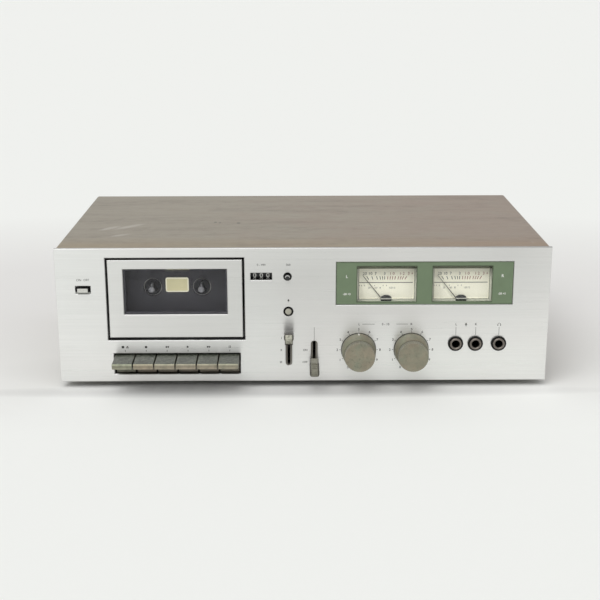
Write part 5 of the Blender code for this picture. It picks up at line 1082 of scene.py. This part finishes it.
window_shadow_ink = ink("window edge shadow ink", (0.065, 0.090, 0.048))
black_ink = ink("black ink", (0.035, 0.035, 0.033))
step_shadow_ink = ink("rail step shadow ink", (0.22, 0.22, 0.17))
red_ink = ink("red ink", (0.30, 0.075, 0.045))
meter_green = make_finish(
    "meter green", GREEN_COLOUR, 0.42, (2400, 90, 0.18, 0.1, 0.25, 0.00004), (GREEN_EDGE, 0.3, 0.8), metallic=0.15
)
dress(meter_green, "meter_plate")
clear_sheet = glazing("clear acrylic", (0.98, 0.985, 0.975), 0.03)
dress(clear_sheet, "meter_lens")
rail_cream = make_finish(
    "dial rail cream", RAIL_COLOUR, 0.5, (1800, 90, 0.08, 0.1, 0.15, 0.00004), (RAIL_EDGE, 0.5, 0.8)
)
dial_card = make_finish("dial card", CARD_COLOUR, 0.6, (1800, 60, 0.07, 0.1, 0.15, 0.00004))
shadow_bar_olive = make_finish("shadow bar olive", SHADOW_BAR_COLOUR, 0.6, (1800, 120, 0.3, 0.1, 0.2, 0.00004))
needle_black = make_finish("needle lacquer", NEEDLE_COLOUR, 0.35, (3000, 500, 0.4, 0.1, 0.1, 0.00002))
dress(needle_black, "needle_left", "needle_right")


class Print:
    """Flat marks on a face towards the front, gathered in one shape. Heights are over a foot."""

    def __init__(self, depth, foot=0.0):
        self.bm = bmesh.new()
        self.depth = depth
        self.foot = foot

    def fill(self, points):
        """A filled outline of (x, z) points."""
        self.bm.faces.new([self.bm.verts.new((x, self.depth, self.foot + z)) for x, z in points])

    def line(self, start, end, width):
        """A straight line with square ends."""
        along = Vector((end[0] - start[0], end[1] - start[1])).normalized() * (width / 2)
        side = Vector((-along.y, along.x))
        points = []
        for point, sign in ((start, -1), (end, 1)):
            for edge in (-sign, sign):
                points.append((point[0] + side.x * edge, point[1] + side.y * edge))
        self.fill(points)

    def ring(self, x, z, radius, width, start=0, end=360, steps=24):
        """An arc of a ring, in pieces."""
        for step in range(steps):
            corners = []
            for share, reach in ((step, -1), (step, 1), (step + 1, 1), (step + 1, -1)):
                angle = math.radians(start + (end - start) * share / steps)
                far = radius + reach * width / 2
                corners.append((x + far * math.cos(angle), z + far * math.sin(angle)))
            self.fill(corners)

    def text(self, text, x, z, height, align="CENTER", bold=0.0):
        """Plain lettering, its middle at a height."""
        mesh = text_mesh(text, height, align, bold)
        mesh.transform(Matrix.Translation((x, self.depth, self.foot + z)) @ FACE_FRONT)
        self.bm.from_mesh(mesh)

    def done(self, name, finish, body, slot):
        """The marks as one piece."""
        mesh = bpy.data.meshes.new(name)
        bmesh.ops.recalc_face_normals(self.bm, faces=self.bm.faces)
        for face in self.bm.faces:
            if face.normal.y > 0:
                face.normal_flip()
        self.bm.to_mesh(mesh)
        self.bm.free()
        return link_piece(name, mesh, finish, body)


lens_low, lens_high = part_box("meter_lens")
dial_foot = lens_low.z - 0.001
for side, x in METERS:
    low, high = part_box(f"meter_{side}")
    card_front = low.y + DIAL_DEPTH - CARD_THICK - CARD_GAP
    card_back = card_front + CARD_THICK
    rail_front = card_front - RAIL_THICK
    left = x - WINDOW_HALF
    right = x + WINDOW_HALF
    card = block((left, card_front, dial_foot), (right, card_back, CARD_HEAD), CARD_THICK / 4)
    link_piece(f"dial_card_{side}", card, dial_card, "root")
    bm = bmesh.new()
    left_rail = x - RAIL_LEFT
    right_rail = x + RAIL_RIGHT
    rails = ((left, left_rail, CARD_HEAD), (right_rail, right, CARD_HEAD), (left_rail, right_rail, RAIL_FOOT))
    for start, end, head_end in rails:
        box_between(bm, (start, rail_front, dial_foot), (end, card_front - 0.00005, head_end))
    link_piece(f"dial_rails_{side}", mesh_from(bm), rail_cream, "root")

    # Painted shadow: thin dark lines along the inner edges of the rails, where they step down to the card.
    lines = Print(rail_front - 0.00003)
    left_line = left_rail - 0.00025
    right_line = right_rail + 0.00025
    for line_x in (left_line, right_line):
        lines.line((line_x, RAIL_FOOT - 0.0005), (line_x, CARD_HEAD), 0.0005)
    lines.line((left_line, RAIL_FOOT - 0.00025), (right_line, RAIL_FOOT - 0.00025), 0.0005)
    lines.done(f"dial_rail_shadow_line_{side}", step_shadow_ink, "root", "black_plastic")
    # Painted shadow: a dark olive bar over the top of the card, where the plate's edge shades it.
    shadow_bar = block((left, rail_front, CARD_HEAD + 0.0001), (right, card_back, lens_high.z - 0.0005))
    link_piece(f"dial_shadow_bar_{side}", shadow_bar, shadow_bar_olive, "root")
    marks = Print(card_front - 0.00003)
    reds = Print(card_front - 0.00003)
    marks.line((x - SCALE_HALF, SCALE_Z), (x + SCALE_HALF, SCALE_Z), 0.0006)
    for foot, head_end in TICKS:
        target = marks if foot < 0.0010 else reds
        target.line((x + foot, TICK_FOOT), (x + head_end, TICK_HEAD), 0.00055)
    for place in LOWER_TICKS:
        marks.line((x + place, 0.0878), (x + place, 0.0887), 0.0004)
    for target, numerals, z, height in (
        (marks, NUMERALS, NUMERAL_Z, 0.0025), (reds, RED_NUMERALS, NUMERAL_Z, 0.0025),
        (marks, LOWER_NUMERALS, 0.0863, 0.0016),
    ):
        for value, place in numerals:
            target.text(value, x + place, z, height)
    marks.done(f"dial_print_{side}", black_ink, "root", "black_plastic")
    reds.done(f"dial_red_{side}", red_ink, "root", "black_plastic")

    outline = [(x - HUB_HALF, HUB_FOOT), (x + HUB_HALF, HUB_FOOT)]
    for step in range(13):
        angle = math.radians(180 * step / 12)
        rise = (HUB_HEAD - HUB_SHOULDER) * math.sin(angle)
        outline.append((x + HUB_HALF * math.cos(angle), HUB_SHOULDER + rise))
    bm = bmesh.new()
    ends = [[bm.verts.new((far, y, z)) for far, z in outline] for y in (lens_high.y + 0.0002, low.y + 0.0006)]
    link_piece(f"hub_cover_{side}", closed_between(bm, ends), black_plastic, "root")
    hub_bar = block(
        (x - HUB_HALF * 0.98, lens_high.y + 0.00005, HUB_BAR - 0.00055),
        (x + HUB_HALF * 0.98, lens_high.y + 0.00045, HUB_BAR + 0.00055),
    )
    link_piece(f"hub_bar_{side}", hub_bar, nickel, "root")

# Level knobs: lathe-turned resin with a fluted grip and a smooth collar next to the panel.
# They are pushed on the controls' shafts, and a white pointer marks each.
KNOB_FLUTES = 48
FLUTE_DEPTH = 0.0005
KNOB_CREAM = (0.226, 0.218, 0.170)
LEVELS = (("left", 0.04765), ("right", 0.09295))
KNOB_POINTER = (0.82, 0.81, 0.76)
POINTER_TURNS = (0, 108)
POINTER_REACH = 0.0050
KNOB_GAP = 0.0003
KNOB_SHAFT_RADIUS = 0.0030
KNOB_TAN = (1.08, 0.98, 0.90)
KNOB_GREEN = (0.95, 1.01, 0.93)
KNOB_SIDE_SHADE = (0.62, 0.62, 0.60)
KNOB_COLLAR = (1.30, 1.30, 1.26)
KNOB_GROOVE_SHADE = (0.42, 0.41, 0.38)
KNOB_FLECK = (0.13, 0.128, 0.098)
KNOB_EDGE = (0.36, 0.355, 0.29)
KNOB_PITTED = (0.95, 0.45)


def knob_finish(name, x, z, radius, groove, shift, pitted):
    """Mottled resin, with painted shade on the fluted side and the rim of its face, and darker painted shade in the
    groove between grip and collar.
    """
    finish = start_finish(name, KNOB_CREAM, 0.42)
    add_speckle(finish, KNOB_FLECK, 420, 0.54, pitted, 0.25)
    add_grain(finish, 1500, 160, 0.45, 0.12, 0.2)
    tree = finish.node_tree
    clouds = ((noise(tree, 95.0, 4.0, shift=shift) - 0.36) * 3.6).held()
    resin = mix(1.0, colour_of(finish), mix(clouds, KNOB_GREEN, KNOB_TAN), "MULTIPLY")
    from_edge = spot_mask(tree, (x, 0, z), (radius, 10.0, radius))
    # Painted shade on the side and the face's rim; the collar is made lighter, and the groove gets a darker painted
    # shade.
    resin = resin.tint(((0.145 - from_edge) * 40.0).held(), KNOB_SIDE_SHADE)
    deep = piece_places(tree)[1]
    resin = resin.tint(deep > groove[1], KNOB_COLLAR)
    resin = resin.tint((deep > groove[0]) * (deep < groove[1]), KNOB_GROOVE_SHADE)
    paint(finish, resin)
    add_wear(finish, KNOB_EDGE, 0.35, 0.5)
    return finish


pointer_ink = ink("pointer ink", KNOB_POINTER)
for (side, x), pointer_turn, pitted in zip(LEVELS, POINTER_TURNS, KNOB_PITTED):
    low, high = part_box(f"level_knob_{side}")
    radius = (high.x - low.x) / 2
    back = PANEL_FRONT - KNOB_GAP
    length = back - low.y
    middle = (low.z + high.z) / 2
    profile = [
        (0, length * 0.99, 0),
        (radius * 0.55, length * 0.985, 0),
        (radius * 0.79, length * 0.985, 0),
        (radius * 0.84, length, 0),
        (radius * 0.865, length, 0.3),
        (radius * 0.885, length - 0.0006, 1),
        (radius * 0.905, length * 0.745, 1),
        (radius * 0.895, length * 0.73, 0.4),
        (radius * 0.865, length * 0.72, 0),
        (radius * 0.865, length * 0.67, 0),
        (radius * 0.915, length * 0.655, 0),
        (radius * 0.935, length * 0.63, 0),
        (radius * 0.985, length * 0.25, 0),
        (radius, length * 0.20, 0),
        (radius, length * 0.03, 0),
        (radius * 0.985, 0, 0),
        (radius * 0.88, 0, 0),
        (radius * 0.88, length * 0.5, 0),
        (KNOB_SHAFT_RADIUS, length * 0.5, 0),
        (KNOB_SHAFT_RADIUS, back - high.y, 0),
        (0, back - high.y, 0),
    ]
    knob = mesh_from(spun(profile, KNOB_FLUTES * 6, KNOB_FLUTES, FLUTE_DEPTH))
    knob.transform(Matrix.Translation((x, back, middle)) @ FACE_FRONT)
    groove = (back - length * 0.735, back - length * 0.665)
    resin = knob_finish(f"knob resin {side}", x, middle, radius, groove, 2.0 + 40 * x, pitted)
    piece = link_piece(f"knob_{side}", knob, resin, f"level_knob_{side}")
    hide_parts(f"level_knob_{side}")
    pointer = block(
        (-0.0005, PANEL_FRONT - POINTER_REACH, radius - 0.0012),
        (0.0005, PANEL_FRONT - 0.0004, radius + 0.00005), 0.0001,
    )
    pointer.transform(Matrix.Translation((x, 0, middle)) @ Matrix.Rotation(math.radians(-pointer_turn), 4, "Y"))
    link_piece(f"knob_pointer_{side}", pointer, pointer_ink, f"level_knob_{side}")
dress(nickel, "level_control_left", "level_control_right")

# Jacks: each has a black ring nut, and in it the nickel bush that the plug slides into.
# The bush is turned, nickel plated and dull with use; deep in its bore it has painted light.
JACKS = (("microphone_left", 0.131), ("microphone_right", 0.148), ("headphone", 0.168))
JACK_RISE = 0.0392
JACK_SLEEVE = (
    (0.0050, 0.0018), (0.0050, 0.0027), (0.0046, 0.0030), (0.0038, 0.0030), (0.0034, 0.0027), (0.00325, 0.0020),
    (0.00325, -0.0150), (0.0034, -0.0150), (0.0034, 0.0016),
)
SLEEVE_COLOUR = (0.20, 0.175, 0.15)
SLEEVE_FRONT = (0.20, 0.178, 0.158)
SLEEVE_BORE_LIGHT = (0.50, 0.42, 0.35)

sleeve_metal = start_finish("jack sleeve metal", SLEEVE_COLOUR, 0.42, 1.0)
# Painted light: deep in the bore the sleeve is a light, non-metallic brown, where it would stand in shade.
bore_light = piece_places(sleeve_metal.node_tree)[1] > PANEL_FRONT - 0.0019
paint(sleeve_metal, mix(bore_light, SLEEVE_FRONT, SLEEVE_BORE_LIGHT))
paint(sleeve_metal, 1.0 - bore_light, "Metallic")
add_grain(sleeve_metal, 1800, 300, 0.3, 0.2, 0.15)
for name, x in JACKS:
    sleeve = mesh_from(spun([*JACK_SLEEVE, JACK_SLEEVE[0]], 32))
    sleeve.transform(Matrix.Translation((x, PANEL_FRONT, JACK_RISE)) @ FACE_FRONT)
    link_piece(f"{name}_sleeve", sleeve, sleeve_metal, "root")

# Panel print: transport symbols, positions, numbers and small signs, in grey-black ink under the anodising.
# It is screen printed on the brushed plate, and in pale ink on the green one. Heights are over the panel's foot.
KEY_PLACES = (-0.1537, -0.1357, -0.1177, -0.0997, -0.0817, -0.0637)
SYMBOL_Z = 0.0314
SYMBOL = 0.00105
SYMBOL_SHIFT = 0.0004
PRINT_RISE = 0.00003
BOLD = 0.00004
DIAL_Z = 0.0282
PLAIN_TEXTS = (
    ("ON", -0.1899, 0.0913, 0.0019), ("OFF", -0.1835, 0.0913, 0.0019),
    ("0 - 999", -0.0355, 0.1040, 0.0018), ("000", -0.0126, 0.1040, 0.0018),
)
LEVER_TEXTS = (
    ("I", -0.0183, 0.0391, 0.0019), ("II", -0.0183, 0.0282, 0.0019), ("III", -0.0183, 0.0173, 0.0019),
    ("ON", 0.0036, 0.0282, 0.0017), ("OFF", 0.0036, 0.0172, 0.0017),
)
BOLD_TEXTS = (
    ("L", 0.0479, 0.0512), ("0 - 10", 0.0705, 0.0512), ("R", 0.0926, 0.0512), ("L", 0.1310, 0.0508),
    ("R", 0.1480, 0.0508),
)
THIN_LINES = (
    (0.0094, 0.0486, 0.0094, 0.0372), (0.0506, 0.0512, 0.0612, 0.0512), (0.0797, 0.0512, 0.0896, 0.0512),
    *((x, 0.0483, x, 0.0412) for name, x in JACKS),
)

panel_ink = ink("panel ink", (0.022, 0.022, 0.020))
marks = Print(PANEL_FRONT - PRINT_RISE, PANEL_FOOT)


def triangle(x, size, way=1):
    """A triangle of the transport symbols, pointing right or left."""
    back = x - way * size * 0.8
    marks.fill([(back, SYMBOL_Z - size), (back, SYMBOL_Z + size), (x + way * size * 0.8, SYMBOL_Z)])


stop, record, rewind, play, forward_place, pause = (x + SYMBOL_SHIFT for x in KEY_PLACES)
marks.line((stop - 0.0029, SYMBOL_Z), (stop - 0.0029 + 2 * SYMBOL, SYMBOL_Z), 2 * SYMBOL)
marks.fill([
    (stop + 0.0008, SYMBOL_Z - 0.0003), (stop + 0.0020, SYMBOL_Z + SYMBOL), (stop + 0.0032, SYMBOL_Z - 0.0003),
])
marks.line((stop + 0.0008, SYMBOL_Z - 0.0008), (stop + 0.0032, SYMBOL_Z - 0.0008), 0.0004)
marks.ring(record, SYMBOL_Z, SYMBOL / 2, SYMBOL, steps=20)
triangle(play, SYMBOL * 1.1)
for shift in (-0.0008, 0.0008):
    triangle(rewind + shift, SYMBOL, -1)
    triangle(forward_place + shift, SYMBOL)
    marks.line((pause + shift * 0.7, SYMBOL_Z - SYMBOL), (pause + shift * 0.7, SYMBOL_Z + SYMBOL), 0.0005)
for x in KEY_PLACES:
    marks.line((x + SYMBOL_SHIFT, 0.0272), (x + SYMBOL_SHIFT, 0.0288), 0.0004)
for text, x, z, height in PLAIN_TEXTS:
    marks.text(text, x, z, height)
for text, x, z, height in LEVER_TEXTS:
    marks.text(text, x, z, height, "RIGHT", BOLD)
for text, x, z in BOLD_TEXTS:
    marks.text(text, x, z, 0.0019, bold=BOLD)
for x, z, end_x, end_z in THIN_LINES:
    marks.line((x, z), (end_x, end_z), 0.0003)
for side, x in LEVELS:
    middle = Vector((x, DIAL_Z))
    marks.ring(x, DIAL_Z, 0.0149, 0.0006, -60, 240, 60)
    for number in range(11):
        angle = math.radians(240 - 30 * number)
        way = Vector((math.cos(angle), math.sin(angle)))
        marks.line(middle + way * 0.0155, middle + way * 0.0166, 0.0004)
        marks.text(str(number), *(middle + way * 0.0184), 0.0021, bold=BOLD)


def microphone_sign(x, z, size):
    """A microphone in a cradle on a foot."""
    marks.ring(x, z + size * 0.35, size * 0.16, size * 0.32, steps=16)
    marks.ring(x, z - size * 0.05, size * 0.16, size * 0.32, steps=16)
    marks.line((x, z - size * 0.05), (x, z + size * 0.35), size * 0.62)
    marks.ring(x, z, size * 0.52, size * 0.12, 180, 360, 12)
    marks.line((x, z - size * 0.52), (x, z - size * 0.82), size * 0.14)
    marks.line((x - size * 0.3, z - size * 0.86), (x + size * 0.3, z - size * 0.86), size * 0.13)


def headphone_sign(x, z, size):
    """A pair of headphones from the front."""
    marks.ring(x, z - size * 0.1, size * 0.72, size * 0.14, 0, 180, 14)
    for side in (-1, 1):
        across = x + side * size * 0.66
        marks.line((across, z - size * 0.7), (across, z - size * 0.05), size * 0.34)


microphone_sign(-0.0126, 0.0727, 0.0016)
microphone_sign(0.1395, 0.0508, 0.0018)
headphone_sign(0.1680, 0.0506, 0.0018)
marks.done("panel_print", panel_ink, "root", "black_plastic")

plate_low, plate_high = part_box("meter_plate")
marks = Print(plate_low.y - PRINT_RISE, PANEL_FOOT)
for x, letter_z in ((0.0370, 0.0933), (0.1691, 0.0936)):
    marks.text("L" if x < 0.1 else "R", x, letter_z, 0.0024, bold=0.00006)
    marks.text("-20 +3", x, 0.0779, 0.0017, bold=0.00006)
marks.done("plate_print", pale_ink, "root", "light_grey")
# Painted shadow: a thin dark line round each window in the green plate.
marks = Print(plate_low.y - PRINT_RISE, PANEL_FOOT)
for side, x in METERS:
    corners = [(x - 0.0255, 0.07055), (x + 0.0255, 0.07055), (x + 0.0255, 0.10235), (x - 0.0255, 0.10235)]
    for start, end in zip(corners, corners[1:] + corners[:1]):
        marks.line(start, end, 0.0006)
marks.done("window_shadow_lines", window_shadow_ink, "root", "meter_green")

# Line sockets at the back: four barrels with a metal shell each, above and below, left and right.
# The shells are drawn from sheet, nickel plated and pressed over the barrels.
SOCKET_X = 0.1540
SOCKET_Z = 0.0755
SOCKET_PITCH = 0.0150
SHELL = ((0.0043, 0.0), (0.0043, 0.0082), (0.0040, 0.0084), (0.0036, 0.0084), (0.0034, 0.0080), (0.0034, 0.0))

socket_low, socket_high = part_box("line_sockets")
shell_start = socket_high.y - 0.0081
shell = mesh_from(spun(SHELL, 28))
places = []
for side in (-1, 1):
    for level in (-1, 1):
        centre = (SOCKET_X + side * SOCKET_PITCH / 2, shell_start, SOCKET_Z + level * SOCKET_PITCH / 2)
        places.append(Matrix.Translation(centre) @ Matrix.Rotation(math.radians(-90), 4, "X"))
link_piece("line_shells", mesh_from(place_copies(shell, places)), nickel, "root")
